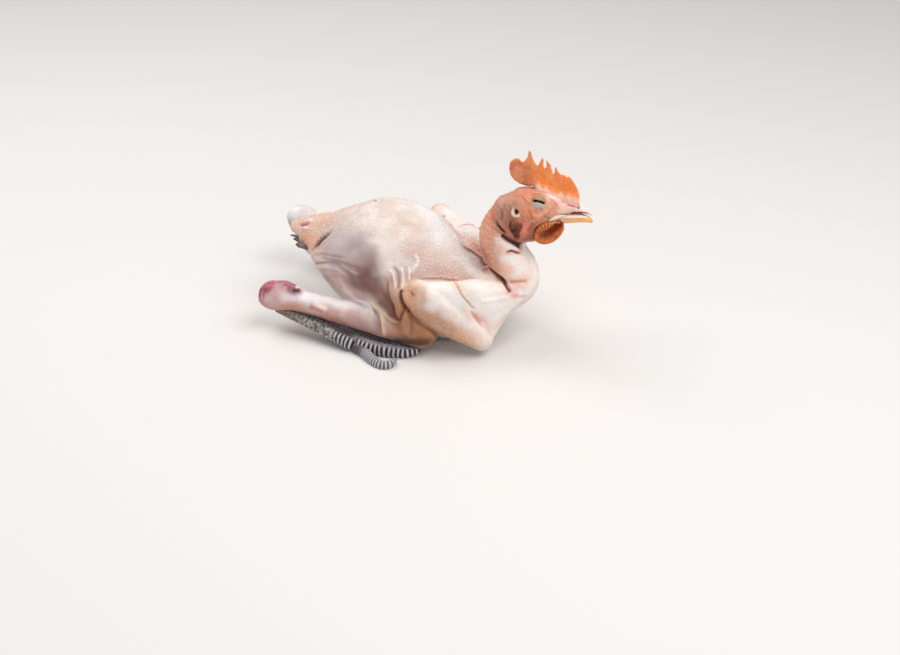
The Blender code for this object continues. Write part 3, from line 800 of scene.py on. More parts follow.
# Single places, laid last.
LAST_STAINS = [
    ([(-34, -55, 66), (-28, -53, 67)], 4, (184, 138, 126), 0.7),
    ([(-22, -47, 69), (-15, -43, 68), (-8, -39, 68)], 5.5, (204, 168, 160), 0.65),
    ([(-68, -53, 66), (-62, -55, 58), (-56, -56, 54)], 5.5, (130, 84, 74), 0.62),
    ([(-78, -48, 64), (-74, -50, 57)], 6, (168, 126, 118), 0.55),
    ([(-59, -54, 72), (-55, -55, 68)], 4.5, (136, 98, 90), 0.5),
    ([(-72, -41, 84), (-64, -42, 88), (-59, -47, 85)], 7, (158, 138, 142), 0.6),
    ([(-67, -34, 93), (-57, -35, 94)], 5, (180, 164, 167), 0.5),
    ([(-113, -25, 66), (-105, -30, 63), (-98, -34, 61)], 6, (242, 216, 206), 0.6),
    ([(-112, -10, 84), (-102, -14, 87)], 6, (212, 164, 146), 0.55),
    ([(-30, 14, 101), (-16, 6, 95), (-5, -7, 88)], 13, (252, 248, 250), 0.8),
    ([(15, -4, 69), (22, -10, 65), (28, -8, 63)], 4.5, (255, 253, 254), 0.85),
    ([(35, -9, 65)], 3.2, (206, 144, 126), 0.7),
    ([(-42, -59, 34), (-41, -61, 27), (-41, -61, 19)], 4, (164, 128, 118), 0.65),
    ([(-58, -60, 33), (-56, -61, 26)], 6, (180, 146, 142), 0.45),
    # Painted shade along the underside of the thigh.
    ([(-24, -60, 13), (-15, -62, 15), (-6, -63, 17), (2, -61, 17)], 5, (72, 38, 26), 0.85),
    ([(19, -56, 45), (28, -53, 37), (36, -47, 34), (46, -37, 30)], 5, (255, 240, 232), 0.75),
    ([(6, -61, 53), (14, -57, 56), (26, -48, 58)], 5, (252, 244, 244), 0.65),
    ([(-14, -65, 59)], 3, (252, 196, 166), 0.6),
    ([(-6, -66, 61)], 3.5, (198, 152, 126), 0.6),
    ([(57, -31, 47), (65, -25, 44)], 6, (255, 252, 248), 0.75),
    ([(63, -22, 60)], 4, (212, 182, 176), 0.6),
    ([(38, -16, 77)], 4, (180, 104, 72), 0.7),
    ([(52, -14, 111)], 4, (164, 100, 72), 0.55),
    ([(-7, 39, 80), (5, 34, 74)], 6, (246, 240, 240), 0.8),
    ([(-130, -58, 43)], 6, (184, 134, 142), 0.5),
    # The next three: a painted shadow band along the foot of the neck, where it lies against the body.
    ([(21, 14, 64), (26, 9, 63), (30, 4, 63)], 4, (100, 44, 28), 0.8),
    ([(31, -2, 63), (33, -8, 64)], 3.2, (176, 106, 86), 0.7),
    ([(38, -13, 70), (45, -16, 67), (50, -18, 64)], 2.6, (112, 46, 24), 0.75),
    # Painted light on the throat, which lies in the head's shade.
    ([(65, 3, 83), (69, 1, 78), (72, 0, 73)], 6, (255, 251, 246), 0.8),
    ([(33, -14, 86), (36, -16, 82)], 3.4, (174, 94, 66), 0.7),
    ([(68, -6, 97), (71, -4, 98)], 3.2, (140, 68, 36), 0.55),
]

# Where feathers were plucked: placing, line, reach, strength.
PORES = [
    (both, [(-19, -34, 86), (-12, -34, 80), (-2, -32, 73), (8, -28, 68), (20, -22, 63)], 12, 1),
    (both, [(0, -33, 68), (9, -29, 65), (18, -24, 62), (24, -19, 60)], 6, 1),
    (both, [(-92, -8, 94), (-66, -14, 102), (-36, -14, 103), (-10, -12, 92), (18, -10, 70)], 22, 0.85),
    (here, [(-148, 12, 66), (-120, 0, 80), (-104, -8, 84)], 20, 1),
    (here, [(-130, -8, 66), (-112, -17, 72)], 9, 1),
    (on_wings, [(-14, -62, 52), (-2, -62, 46), (7, -61, 41), (18, -56, 34), (34, -48, 19)], 12, 0.6),
    (on_wings, [(-14, -60, 66), (-10, -63, 62), (-12, -63, 52)], 10, 0.6),
    (on_wings, [(13, -36, 68), (18, -39, 66), (24, -44, 64), (29, -45, 59), (33, -44, 56)], 6, 0.7),
    (on_wings, [(47, -38, 25), (54, -33, 31), (60, -26, 37), (66, -16, 42)], 4, 1),
]

# Soft mounds and hollows: line, reach, height.
SWELLS = [
    ([(-113, -18, 60), (-107, -26, 55), (-104, -28, 51)], 10, 3.2),
    ([(-100, -31, 41), (-96, -30, 34), (-90, -29, 27)], 9, -2.8),
    ([(-136, 12, 76), (-128, 13, 82), (-114, 12, 88)], 8, -2.6),
    ([(-173, 59, 55), (-168, 62, 58), (-163, 66, 58)], 8, 1.8),
    ([(-146, -58, 38), (-145, -61, 33)], 7, 1.6),
    ([(-125, -50, 44), (-118, -49, 43)], 7, 2.2),
    ([(-146, -58, 29), (-140, -60, 25)], 6, 1.6),
    ([(65, 0, 90), (69, -1, 84), (73, -3, 78)], 7, -3.6),
]

# A fold: its placing, line, width and depth, then the colour in it, that colour's strength and the
# share of the line over which each end fades. A fold of negative depth is a ridge. The colour is
# painted along the fold's middle: a dark one in a groove is painted shade, a pale one on a ridge a
# painted highlight over the ridge's own paler skin.
TRUNK_FOLDS = [
    (both, [(-116, -16, 50), (-100, -32, 60), (-85, -40, 65), (-64, -54, 67)], 1.1, 1, FLANK_SHADE, 0.55),
    (both, [(-116, -16, 47), (-100, -31, 56), (-85, -41, 61), (-66, -53, 63)], 1.3, -0.9, FLANK_PALE, 0.6),
    (both, [(-112, -20, 60), (-100, -31, 67), (-88, -38, 70), (-73, -46, 75)], 1.2, 0.7, FLANK_SHADE, 0.4),
    (both, [(-80, -43, 66), (-69, -52, 68), (-57, -55, 67)], 1, -0.9, FLANK_PALE, 0.4),
    (both, [(-104, -24, 43), (-88, -38, 52), (-72, -50, 60)], 1.3, 0.5, VALLEY_SHADE, 0.15),
    (both, [(-48, -52, 80), (-46, -55, 69), (-42, -57, 58), (-34, -58, 46), (-27, -59, 36)], 5, 2.6),
    (both, [(-107, -27, 62), (-85, -40, 67), (-66, -52, 72), (-52, -55, 70)], 1.3, 1, FLANK_SHADE, 0.45),
    (both, [(-31, -58, 46), (-28, -58, 43)], 1.4, 0.4, PURPLE, 0.7),
    # Skin pulled tight between thigh and elbow, on the shown side alone, with painted highlights on
    # its white ridges and painted shade in the grooves between.
    (here, [(-34, -51, 74), (-30, -52, 70), (-28, -53, 64), (-27, -55, 58)], 1, -1.5, WHITE_PINK, 0.9),
    (here, [(-31, -49, 77), (-26, -50, 71), (-25, -52, 64), (-25, -55, 58)], 1, 1.2, VALLEY_SHADE, 0.5),
    (here, [(-26, -45, 75), (-23, -48, 69), (-22, -51, 62), (-22, -55, 57)], 1.1, -1.5, WHITE_PINK, 0.9),
    (here, [(-20, -42, 75), (-19, -45, 69), (-18, -48, 64)], 1, -1.2, WHITE_PINK, 0.9),
    (here, [(-18, -35, 84), (-14, -37, 78), (-16, -41, 73), (-18, -45, 69)], 1.6, -1.1, WHITE_PINK, 0.7),
    (here, [(-34, -53, 66), (-33, -56, 56), (-29, -58, 46), (-27, -59, 40)], 1.1, 1.3, CREASE_SHADE, 0.45),
    # A short crease across the back.
    (here, [(-73, 10, 103), (-69, 5, 106), (-65, 0, 107)], 0.8, 0.9, CREASE_SHADE, 0.75),
]

TAIL_FOLDS = [
    (here, [(-94, -21, 87), (-100, -22, 81), (-106, -23, 75), (-111, -22, 68),
     (-115, -19, 62)], 1.7, 2.6, CREASE_SHADE, 0.95, 0.4),
    (here, [(-92, 31, 88), (-99, 32, 83), (-105, 33, 77), (-110, 33, 69),
     (-115, 28, 62)], 1.7, 2.6, CREASE_SHADE, 0.95, 0.3),
    (off_tail, [(-135, 2, 75), (-130, 5, 78), (-125, 5, 80)], 1.2, 1.6, TAIL_RED, 0.9),
    (off_tail, [(-128, 2, 81.5), (-122, 4, 82)], 1.4, -1.2, WHITE_PINK, 0.9),
    (off_tail, [(-131, 6, 74.5), (-125, 8, 77)], 1.1, -0.9, WHITE_PINK, 0.8),
    (off_tail, [(-143, 2, 71), (-137, 4, 73)], 1, -0.8, FACE_PINK, 0.6),
]

# The edge of the skin at each thigh, its cuff round the drumstick, and creased hocks.
LEG_FOLDS = [
    (on_legs, [(-77, -35, 30), (-60, -50, 40), (-52, -54, 41), (-47, -56, 35),
     (-46, -58, 32)], 1.1, -1.2, WHITE_PINK, 0.7),
    (on_legs, [(-78, -37, 28), (-62, -50, 37), (-54, -55, 37)], 1.2, 0.7, CREASE_SHADE, 0.12),
    (on_legs, [(-52, -55, 45), (-43, -57, 40), (-38, -59, 34), (-35, -62, 25),
     (-35, -61, 14)], 1.6, -1.7, TAN_PALE, 0.85),
    (on_legs, [(-50, -57, 40), (-43, -59, 35), (-39, -61, 29),
     (-38.5, -62, 18)], 1.6, 0.8, DRUM_SHADE, 0.4),
    (on_legs, [(-43, -56, 43), (-35, -58, 35), (-28, -60, 32.5), (-22, -61, 32)], 1.2, -1.2, TAN_PALE, 0.5),
    (on_legs, [(-30, -58, 44), (-26, -60, 36), (-22, -61, 34)], 1.3, 1.3, VALLEY_DEEP_SHADE, 0.6),
    (on_legs, [(-22, -61, 32), (-20, -59, 40), (-17, -57, 46)], 1.3, 1.6, CREASE_SHADE, 0.6),
    (on_legs, [(-15, -60, 42), (-11, -60, 35), (-10, -63, 28), (-12, -62, 22)], 1.5, 1, CREASE_SHADE, 0.35),
    (on_legs, [(-14, -58, 41), (-10, -60, 36), (-4, -61, 32), (1, -59, 26)], 1.6, 0.9, CREASE_SHADE, 0.25),
    (here, [(-150, -61, 35), (-148, -58, 41)], 0.8, 0.5, PURPLE, 0.35),
    (here, [(-147, -62, 33), (-145, -59, 42)], 0.8, 0.5, PURPLE, 0.35),
    (here, [(-143, -62, 34), (-141, -59, 42)], 0.8, 0.5, PURPLE, 0.35),
    (here, [(-124, -57, 41), (-121, -51, 44)], 0.8, 0.5, PURPLE, 0.35),
]

WING_FOLDS = [
    (on_wings, [(-22, -53, 60), (-22, -56, 53), (-18, -57, 46),
     (-12, -58, 40)], 1.4, 2.2, CREASE_SHADE, 0.95, 0.15),
    (on_wings, [(-14, -58, 42), (-4, -60, 34), (5, -55, 26), (8, -50, 18)], 1.4, 1.8, TAN_SHADE, 0.8, 0.1),
    (on_wings, [(-14, -44, 65), (-4, -38, 64), (3, -33, 63), (10, -29, 61), (18, -27, 61),
     (26, -30, 63)], 0.9, 1.2, CREASE_RED_SHADE, 0.5),
    (on_wings, [(13, -33, 66), (21, -42, 63), (27, -46, 58), (33, -46, 52),
     (38, -44, 46)], 0.8, 1.1, CREASE_RED_SHADE, 0.6, 0.15),
    (on_wings, [(32, -47, 47), (35, -45, 43), (39, -42, 36), (43, -40, 31),
     (48, -37, 25)], 1.6, 1.3, CREASE_RED_SHADE, 0.3, 0.3),
    (on_wings, [(30, -48, 50), (33, -47, 43), (36, -46, 38)], 2, -1.2, FACE_PINK, 0.5),
    (on_wings, [(38, -42, 53), (47, -38, 53), (55, -33, 54), (62, -28, 55)], 1.6, -0.7, WHITE_PINK, 0.35),
    (on_wings, [(6, -53, 64), (14, -53, 58), (22, -51, 50), (28, -49, 42)], 2.4, 0.7),
    (here, [(-16, 16, 92), (-4, 15, 83), (6, 13, 75), (14, 14, 69),
     (20, 18, 62)], 1.3, 1.6, CREASE_RED_SHADE, 0.6),
]

# Where the neck folds back on the body, and slits under the jaw.
NECK_FOLDS = [
    ([(29, 3, 65), (33, 9, 68), (37, 14, 71), (41, 16, 70), (47, 17, 67), (53, 19, 64), (58, 24, 60),
     (62, 26, 57)], 1.4, 2, NECK_SHADE, 0.95, 0.08),
    ([(43, 14, 112), (48, 15, 108), (52, 14, 104)], 0.8, 1.3, NECK_SHADE, 0.85),
    ([(49, 15, 103), (53, 14, 99), (59, 9.5, 94), (63.5, 5, 89)], 1.7, 2.6, NECK_SHADE, 1, 0.12),
    ([(48, 13, 125), (49, 14, 119), (49, 14, 114)], 0.8, 0.8, CHEEK, 0.5),
    ([(39, 10, 117), (41, 12, 114), (43, 14, 111)], 0.8, 0.8, CHEEK, 0.5),
    ([(57, 19, 63), (65, 18, 64), (72, 13, 63)], 1.6, 1.6, CREASE_RED_SHADE, 0.45),
    ([(64, 25, 55), (68, 18, 50), (71, 11, 49)], 1.4, 0.9, CREASE_RED_SHADE, 0.3),
    ([(69, 9, 79), (72, 9, 73), (72, 12, 67)], 1.6, 0.9),
]

JAW_SLIT = [
    (here, [(54, -17, 88), (58, -14, 89), (61, -12, 87), (65, -9, 86)], 0.9, 1.6, (140, 30, 30), 1),
]

HEAD_FOLDS = [
    ([(-4, 13, -2), (-4.8, 12, -7), (-3, 11, -12.5), (0, 10, -17)], 0.7, 1.3, INK, 0.8),
    ([(4, 13, -3), (4.6, 12, -8), (2.5, 11, -14)], 0.7, 0.6, LOBE, 0.5),
    ([(-17, 9, -2), (-12, 11, -9), (-7, 11, -14)], 0.8, 1.3, NECK_SHADE, 0.8),
    ([(13, 12, -0.5), (16, 12, -4), (18.5, 11, -7.5)], 0.5, -0.6, (248, 214, 190), 0.8),
    ([(14.5, 12, -1.5), (17.2, 12, -5), (19.4, 11, -8.4)], 0.6, 0.7, CHEEK, 0.7),
    ([(9, 13.5, 9), (11.4, 13, 4.5), (13.4, 12, -0.8)], 0.7, 0.6, CHEEK, 0.4),
    ([(2.3, 13.5, 4.5), (4.8, 13, 1.8), (8, 12.5, -3.5)], 0.7, 0.6, CHEEK, 0.35),
    ([(3, 12, 21.8), (5.7, 13, 17.8), (7.6, 13.5, 11.8)], 0.7, 0.6, CHEEK, 0.4),
    ([(25.8, 9, 16.5), (29.6, 9, 13.8), (32.2, 8.5, 9.1), (32.9, 8, 5.1)], 0.7, 0.7, CHEEK, 0.4),
    ([(24.4, 10, 3.8), (28, 9.5, 7.1), (31.6, 8.5, 8.5)], 0.7, 0.5, CHEEK, 0.3),
    ([(21, 11, 3), (25, 10, 0), (28, 9, -3)], 0.7, 0.5, CHEEK, 0.35),
    ([(9.2, 11, 21.3), (16.4, 10.5, 23.3), (22.5, 10, 22), (26.9, 9, 17.4)], 0.8, 0.7, CHEEK, 0.3),
    ([(18.6, 10, -9), (16.3, 9.5, -13), (15.4, 8, -19)], 1, 1.6, CREASE_SHADE, 0.75),
    ([(-9, 12, 14), (-11, 12, 6), (-11, 11, -1)], 0.9, 0.6, CHEEK, 0.3),
    ([(38, 7.5, 12.6), (42.7, 6, 12.2), (48, 4.5, 11)], 0.8, 0.7),
    ([(41.5, 7, 9.4), (43.5, 6.5, 8.2), (46.4, 5.5, 7.4)], 0.8, 0.8),
]


def colour_drumsticks(skin):
    """Pale and marbled, reddish and darker below, the darker part painted shade, with a painted
    highlight along the top, and bluer on the far side.
    """
    for joints, pale in ((NEAR_LEG, WHITE_PINK), (FAR_LEG, BLUE_WHITE)):
        knee, hock = Vector(joints["knee"]), Vector(joints["hock"])
        out = 1 if hock.y > 0 else -1
        bone = [tuple(knee.lerp(hock, share)) for share in (0.3, 0.6, 1.05)]
        skin.stain(bone, 16, pale, 0.95, inside=True)
        skin.stain(bone, 18, (216, 204, 214), 0.7, 6, inside=True)
        skin.stain([(x, y + 10 * out, z - 9) for x, y, z in bone], 8, DRUM_RED, 0.75)
        skin.stain([tuple(Vector(point) - Vector((0, 0, 12))) for point in bone], 8, DRUM_SHADE, 0.7)
        # A painted highlight along the drumstick's top.
        top = [tuple(knee.lerp(hock, share) + Vector((0, 5 * out, 11))) for share in (0.35, 0.55, 0.75)]
        skin.stain(top, 5, BLUE_WHITE, 0.75)


NECK_RING = 3.4


def ring_neck(skin):
    """Rows of follicles round the upper neck, with painted shade in the troughs between them, and a
    colour that fades down the neck.
    """
    which = np.flatnonzero((skin.points[:, 0] > 18) & (skin.points[:, 2] > 45))
    points = skin.points[which]
    route = np.array([row[:3] for row in catmull_rom(NECK, 24)])
    best, lengths, offset, distance = nearest_on(points, route)
    at, span = lengths[best], lengths[-1]
    upper = smoothstep(at, 0.36 * span, 0.5 * span) * (1 - smoothstep(distance, 19, 27))
    back = smoothstep(-offset[:, 0], -8, 4)
    share = upper * (0.35 + 0.65 * back)
    skin.blend(0.95 * upper * (0.55 + 0.45 * back), SALMON, which)
    rings = np.cos(2 * math.pi * (at + 0.8 * noise(points, 9, 3)) / NECK_RING)
    skin.relief[which] += 0.42 * share * rings * (0.6 + 0.4 * noise(points, 1.9, 4))
    # Painted shade in the troughs between the rings.
    skin.blend(0.5 * np.clip(-rings, 0, 1) * share, SALMON_SHADE, which)
    skin.blend(0.5 * share * smoothstep(noise(points, 6, 13), -0.2, 0.5), FACE_PINK, which)
    off_head = smoothstep(np.linalg.norm(points - np.array(HEAD_AT) - (6, 2, 0), axis=1), 22, 27)
    skin.pores[which] = np.maximum(skin.pores[which], 0.5 * share * off_head)


def dent_ears(skin):
    """Each ear's open hole, in a low uneven rim."""
    for side in (-1, 1):
        which, distance, _, fits = skin.near(on_head([(-0.3, 14 * side, 5.8)]), 6)
        uneven = 0.6 + 0.5 * noise(skin.points[which], 3.0, 6)
        rim = np.exp(-(((distance - 2.9) / 0.8) ** 2))
        skin.relief[which] += fits * (0.9 * uneven * rim - 2.2 * np.exp(-((distance / 1.5) ** 4)))


def general_relief(skin):
    """Small unevenness everywhere, so that no stretch is a perfect tube, and a wrinkled face."""
    points = skin.points
    skin.relief += 0.25 + 0.45 * noise(points, 14, 21) + 0.15 * noise(points, 5, 22)
    face = np.exp(-((np.linalg.norm(points - np.array(HEAD_AT) - (8, 2, 0), axis=1) / 30) ** 4))
    skin.relief += face * (0.26 * noise(points, 2.0, 11) + 0.28 * noise(points, 4.5, 12))
    skin.tint *= 1 + (0.03 * noise(points, 11, 23) + 0.02 * noise(points, 4, 24))[:, None]
    skin.tint *= 1 + (0.08 * face * noise(points, 3.4, 25))[:, None]


BUMP_RINGS = [(1.15, -0.3), (0.8, 0.3), (0.45, 0.8)]
BUMP_SIDES = 6
BUMP_GAP = 3.0
BUMP_MOST = 5000
PORES_FROM = 0.25


def spaced(skin):
    """The numbers of porous points in a random order, none closer to another than BUMP_GAP."""
    order = np.random.default_rng(7).permutation(np.flatnonzero(skin.pores > PORES_FROM))
    cells = {}
    chosen = []
    for number, point in zip(order.tolist(), skin.points[order].tolist()):
        cell = tuple(int(value // BUMP_GAP) for value in point)
        steps = itertools.product((-1, 0, 1), repeat=3)
        others = (cells.get((cell[0] + i, cell[1] + j, cell[2] + k)) for i, j, k in steps)
        if not any(other and math.dist(other, point) < BUMP_GAP for other in others):
            cells[cell] = point
            chosen.append(number)
    return np.array(chosen[:BUMP_MOST])


def feather_bumps(skin):
    """Low domes that plucked feathers have left, spaced evenly where the skin is porous, their tops
    paler as a painted highlight over the follicle's own paler skin.
    """
    chosen = spaced(skin)
    random = np.random.default_rng(8)
    width = random.uniform(0.9, 1.4, len(chosen))
    height = random.uniform(0.28, 0.5, len(chosen)) * (0.3 + 0.9 * skin.pores[chosen])
    at, normal, own = skin.points[chosen], skin.normals[chosen], skin.tint[chosen]
    aside = np.cross(normal, (0.3, 0.2, 0.93))
    aside /= np.linalg.norm(aside, axis=1)[:, None]
    third = np.cross(normal, aside)
    highlit = own + (0.46 * skin.pores[chosen] ** 1.3)[:, None] * (light_of(WHITE_PINK) - own)
    rows, shades, faces = [], [], []
    for ring, (reach, rise) in enumerate(BUMP_RINGS):
        for k in range(BUMP_SIDES):
            angle = 2 * math.pi * k / BUMP_SIDES
            flat = (math.cos(angle) * aside + math.sin(angle) * third) * (reach * width)[:, None]
            rows.append(at + flat + normal * (rise * height)[:, None])
            shades.append(own + max(0, rise) * (highlit - own))
            low, n = ring * BUMP_SIDES, (k + 1) % BUMP_SIDES
            if ring < len(BUMP_RINGS) - 1:
                faces.append((low + k, low + n, low + BUMP_SIDES + n, low + BUMP_SIDES + k))
            else:
                faces.append((low + k, low + n, low + BUMP_SIDES))
    points = np.stack([*rows, at + normal * height[:, None]], axis=1).reshape(-1, 3)
    tint = np.stack([*shades, highlit], axis=1).reshape(-1, 3)
    each = len(rows) + 1
    every = [tuple(corner + each * i for corner in face) for i in range(len(chosen)) for face in faces]
    mesh = bpy.data.meshes.new("feather_bumps")
    mesh.from_pydata(points.tolist(), [], every)
    return finished(mesh, points, tint, np.zeros(len(points)), "feather_bumps", "raw_skin_moist")


def build_skin():
    """The fused body with a finer mesh along its folds and on its head, and its feather bumps."""
    flesh = [loft(TRUNK, facing=(1, 0, 0)), loft(ABDOMEN, facing=(1, 0, 0)), loft(TAIL)]
    flesh += [thigh(NEAR_LEG), thigh(FAR_LEG)]
    parts = [fused(flesh, FLESH_VOXEL, 12)]
    parts += [drumstick(NEAR_LEG), drumstick(FAR_LEG)]
    parts += wing(NEAR_WING) + wing(FAR_WING)
    parts.append(loft(NECK, up=(1, 0, 0)))
    for stations in (SKULL, JOWL):
        parts.append(loft(stations))
        parts[-1].transform(HEAD_PLACE)
    folds = spread(
        TRUNK_FOLDS + TAIL_FOLDS + LEG_FOLDS + WING_FOLDS + each_side(NECK_FOLDS) + JAW_SLIT
        + each_side(HEAD_FOLDS, on_head)
    )
    narrow = [row for line, width, *_ in folds if width < 2 for row in catmull_rom(line, 8)]
    tree = KDTree(len(narrow))
    for number, row in enumerate(narrow):
        tree.insert(row, number)
    tree.balance()
    on_face = on_head([(8, 0, 0)])[0]
    body = finer(
        fused(parts, SKIN_VOXEL, 4),
        lambda at: tree.find(at)[2] < FOLD_REACH or (at - Vector(on_face)).length < FACE_REACH,
        1,
    )
    skin = Surface(body, PALE)
    skin.stains(TRUNK_STAINS + TAIL_STAINS + THIGH_STAINS)
    colour_drumsticks(skin)
    skin.stains(LEG_STAINS + WING_STAINS)
    ring_neck(skin)
    skin.stains(each_side(NECK_STAINS) + NAPE_STAINS + each_side(HEAD_STAINS, on_head))
    for row in LAST_STAINS:
        skin.stain(*row)
    for row in spread(PORES):
        skin.porous(*row)
    for row in SWELLS:
        skin.swell(*row)
    for row in folds:
        skin.crease(*row)
    dent_ears(skin)
    general_relief(skin)
    skin.lay()
    return [skin.piece("skin", "raw_skin_moist"), feather_bumps(skin)]


# ---------------------------------------------------------------------------------------------
# The head's own pieces, in the head's forward, left and up.

COMB_ORANGE = (246, 140, 72)
COMB_BROWN = (206, 122, 86)
COMB_OUTLINE = [
    (14, 15), (14.5, 23.2), (11, 22.8), (5.4, 24.1), (-0.3, 27.2), (-4, 31.8), (-5.7, 37.6), (-4.4, 43.6),
    (0.3, 46.2), (4.6, 43.0), (6.6, 43.9), (9.0, 48.8), (9.9, 52.6), (11.4, 50.0), (14.2, 42.2),
    (17.2, 39.6), (18.8, 43.0), (20.3, 46.4), (21.2, 44.4), (21.0, 40.6), (23.2, 36.4), (24.0, 40.0),
    (23.4, 44.6), (26.2, 41.0), (29.8, 31.8), (30.6, 35.6), (30.9, 39.3), (33.5, 34.2), (35.8, 31.6),
    (38.4, 32.0), (40.2, 29.9), (42.5, 30.3), (46.6, 24.6), (49.6, 18.6), (50.8, 12.4), (50.2, 7.5),
    (44, 5), (28, 9),
]
COMB_FOOT = [(14, 23.5), (28, 17.5), (36, 13), (51, 10.5)]
COMB_PINK = [(14, 26.5), (21.5, 22.6), (28.9, 18.6), (37.5, 16.4), (50.3, 12.2)]
COMB_SHEET = 3.0
COMB_VOXEL = 0.42
UPPER_BEAK = [
    (38, 0, 5.4, 6.6, 5.8), (46, 0, 5, 5.2, 4.9), (50, 0, 4.2, 4.4, 4.5), (53, 0, 2.9, 3.6, 3),
    (57, 0, 1.1, 2.6, 1.8), (60, 0, -1, 1.7, 1.3), (61.6, 0, -2.8, 1, 1),
]
LOWER_BEAK = [
    (27, 0, -5, 7.4, 5), (36, 0, -5, 6.4, 4.7), (44, 0, -4.9, 5.2, 4.5), (52, 0, -5.2, 4.2, 3.8),
    (58, 0, -6.5, 3.1, 2.8), (61.8, 0, -8.3, 1.5, 1.5),
]
MOUTH = [(31, 0, 0.2, 6.6, 0.9), (44, 0, 0.8, 4.7, 0.75), (54, 0, 0.3, 3.2, 0.75), (59.5, 0, -1.4, 1.6, 0.6)]


def comb_blade():
    """A flat blade cut in points, with its edges rounded."""
    outline = catmull_rom(COMB_OUTLINE + COMB_OUTLINE[:1], 3)[:-1]
    bm = bmesh.new()
    right, left = ([bm.verts.new((x, y, z)) for x, z in outline] for y in (-COMB_SHEET / 2, COMB_SHEET / 2))
    bm.faces.new(right)
    bm.faces.new(left[::-1])
    for i in range(len(outline)):
        n = (i + 1) % len(outline)
        bm.faces.new((right[n], right[i], left[i], left[n]))
    bmesh.ops.triangulate(bm, faces=bm.faces)
    bmesh.ops.recalc_face_normals(bm, faces=bm.faces)
    return fused([bm], COMB_VOXEL, 3)


def comb():
    """A blade that is thick where it grows from the head, with a pebbled and mottled face and a
    painted shadow along its back foot.
    """
    surface = Surface(comb_blade(), COMB_ORANGE)
    forward, up = surface.points[:, 0].copy(), surface.points[:, 2].copy()
    foot = np.interp(forward, *zip(*COMB_FOOT))
    rise = up - foot
    grown = smoothstep(forward, 12, 18)
    swell = 0.85 + 1.9 * grown * (1 - smoothstep(rise, -1, 7)) + 0.35 * (1 - smoothstep(rise, 4, 18))
    surface.points[:, 1] *= swell
    surface.lay()
    points = surface.points
    surface.relief += 0.28 * noise(points, 1.7, 31) + 0.22 * noise(points, 3.6, 32)
    back = 1 - smoothstep(forward, 6, 20)
    surface.blend(0.85 * back, COMB_BROWN)
    surface.blend(0.35 * smoothstep(noise(points, 3.5, 36), -0.3, 0.5), (250, 176, 116))
    surface.blend(0.4 * back * smoothstep(noise(points, 5, 37), -0.1, 0.6), (226, 160, 134))
    ragged = np.interp(forward, *zip(*COMB_PINK)) + 2.2 * noise(points * (1, 1, 0.35), 3.0, 35)
    base = (1 - smoothstep(up - ragged, -1.2, 2.0)) * smoothstep(forward, 10, 17)
    surface.blend(0.85 * base, FACE_PINK)
    surface.blend(0.2 * smoothstep(rise, 12, 24) * smoothstep(forward, 8, 14), (250, 170, 104))
    # Painted shadow where the back of the comb meets the head.
    for line in both([(4, -1, 24.6), (9, -1.5, 23.6), (14, -2, 23.6)]):
        surface.stain(line, 1.7, CREASE_SHADE, 0.7)
    surface.tint *= 1 + (0.05 * noise(points, 2.4, 33) + 0.08 * noise(points, 6, 34))[:, None]
    surface.lay()
    return head_piece(surface, "comb", "comb_flesh")


def head_piece(surface, name, material):
    """Brings a surface drawn in the head's own directions to its place."""
    turn = np.array(HEAD_PLACE.to_3x3())
    surface.points = surface.points @ turn.T + np.array(HEAD_AT)
    return surface.piece(name, material)


NOSTRIL_CREASES = [
    ([(44, 6, 8.4), (46.6, 5, 7.6), (49, 4.5, 5.4)], 0.8, 0.8, (200, 56, 80), 1),
    ([(46.6, 4, 10.4), (49.4, 4, 9.4), (51.6, 3.6, 6.8)], 0.8, 0.7, (220, 96, 104), 0.9),
]
UPPER_STAINS = [
    ([(49.4, 3.6, 9.3), (50.7, 2.8, 7.1), (50.2, 4, 5.2)], 0.9, (228, 112, 122), 0.8),
    # Painted shade in the nostril's opening, and in the next row along the mouth's edge.
    ([(49.8, 4, 5.4)], 0.9, (100, 40, 36), 0.95, 0, 4),
    ([(40, 6.4, 0.4), (46, 5, 0.8)], 0.8, (104, 26, 16), 0.8),
    ([(36, 7, 1.4), (50, 4, 1.2), (59, 1.5, -1.7)], 0.9, (240, 160, 130), 0.7),
]
LOWER_RIM = [([(36, 5, -1.2), (46, 4.2, -1.4), (57, 2.4, -2.6)], 1.9, (254, 240, 228), 0.95, 0, 4)]
LOWER_CREASE = [([(37, 6, -4), (47, 5, -4), (58, 3, -5)], 0.7, 0.3, (214, 150, 108), 0.6)]
MOUTH_CORNER = [(27, 9.3, -3.2), (30.5, 9, -1.5), (34.5, 8, -0.3), (39.5, 6.6, 0.1)]
CORNER_GIRTH = [(0, 0.8, 1.0), (0.35, 1.5, 2.0), (1, 0.6, 0.6)]
HORN_VOXEL = 0.45
CORNER_VOXEL = 0.4


def upper_beak():
    """Pale horn, pinker at its root, with a red line round each nostril, and painted shade in each
    nostril's opening and along the mouth's edge.
    """
    upper = Surface(fused([loft(UPPER_BEAK)], HORN_VOXEL, 2), (255, 242, 234))
    upper.blend(0.8 * (1 - smoothstep(upper.points[:, 0], 42, 53)), (254, 206, 200))
    for row in spread(each_side(NOSTRIL_CREASES)):
        upper.crease(*row)
    upper.stains(each_side(UPPER_STAINS))
    upper.relief += 0.12 * noise(upper.points, 2.0, 41)
    upper.lay()
    return upper


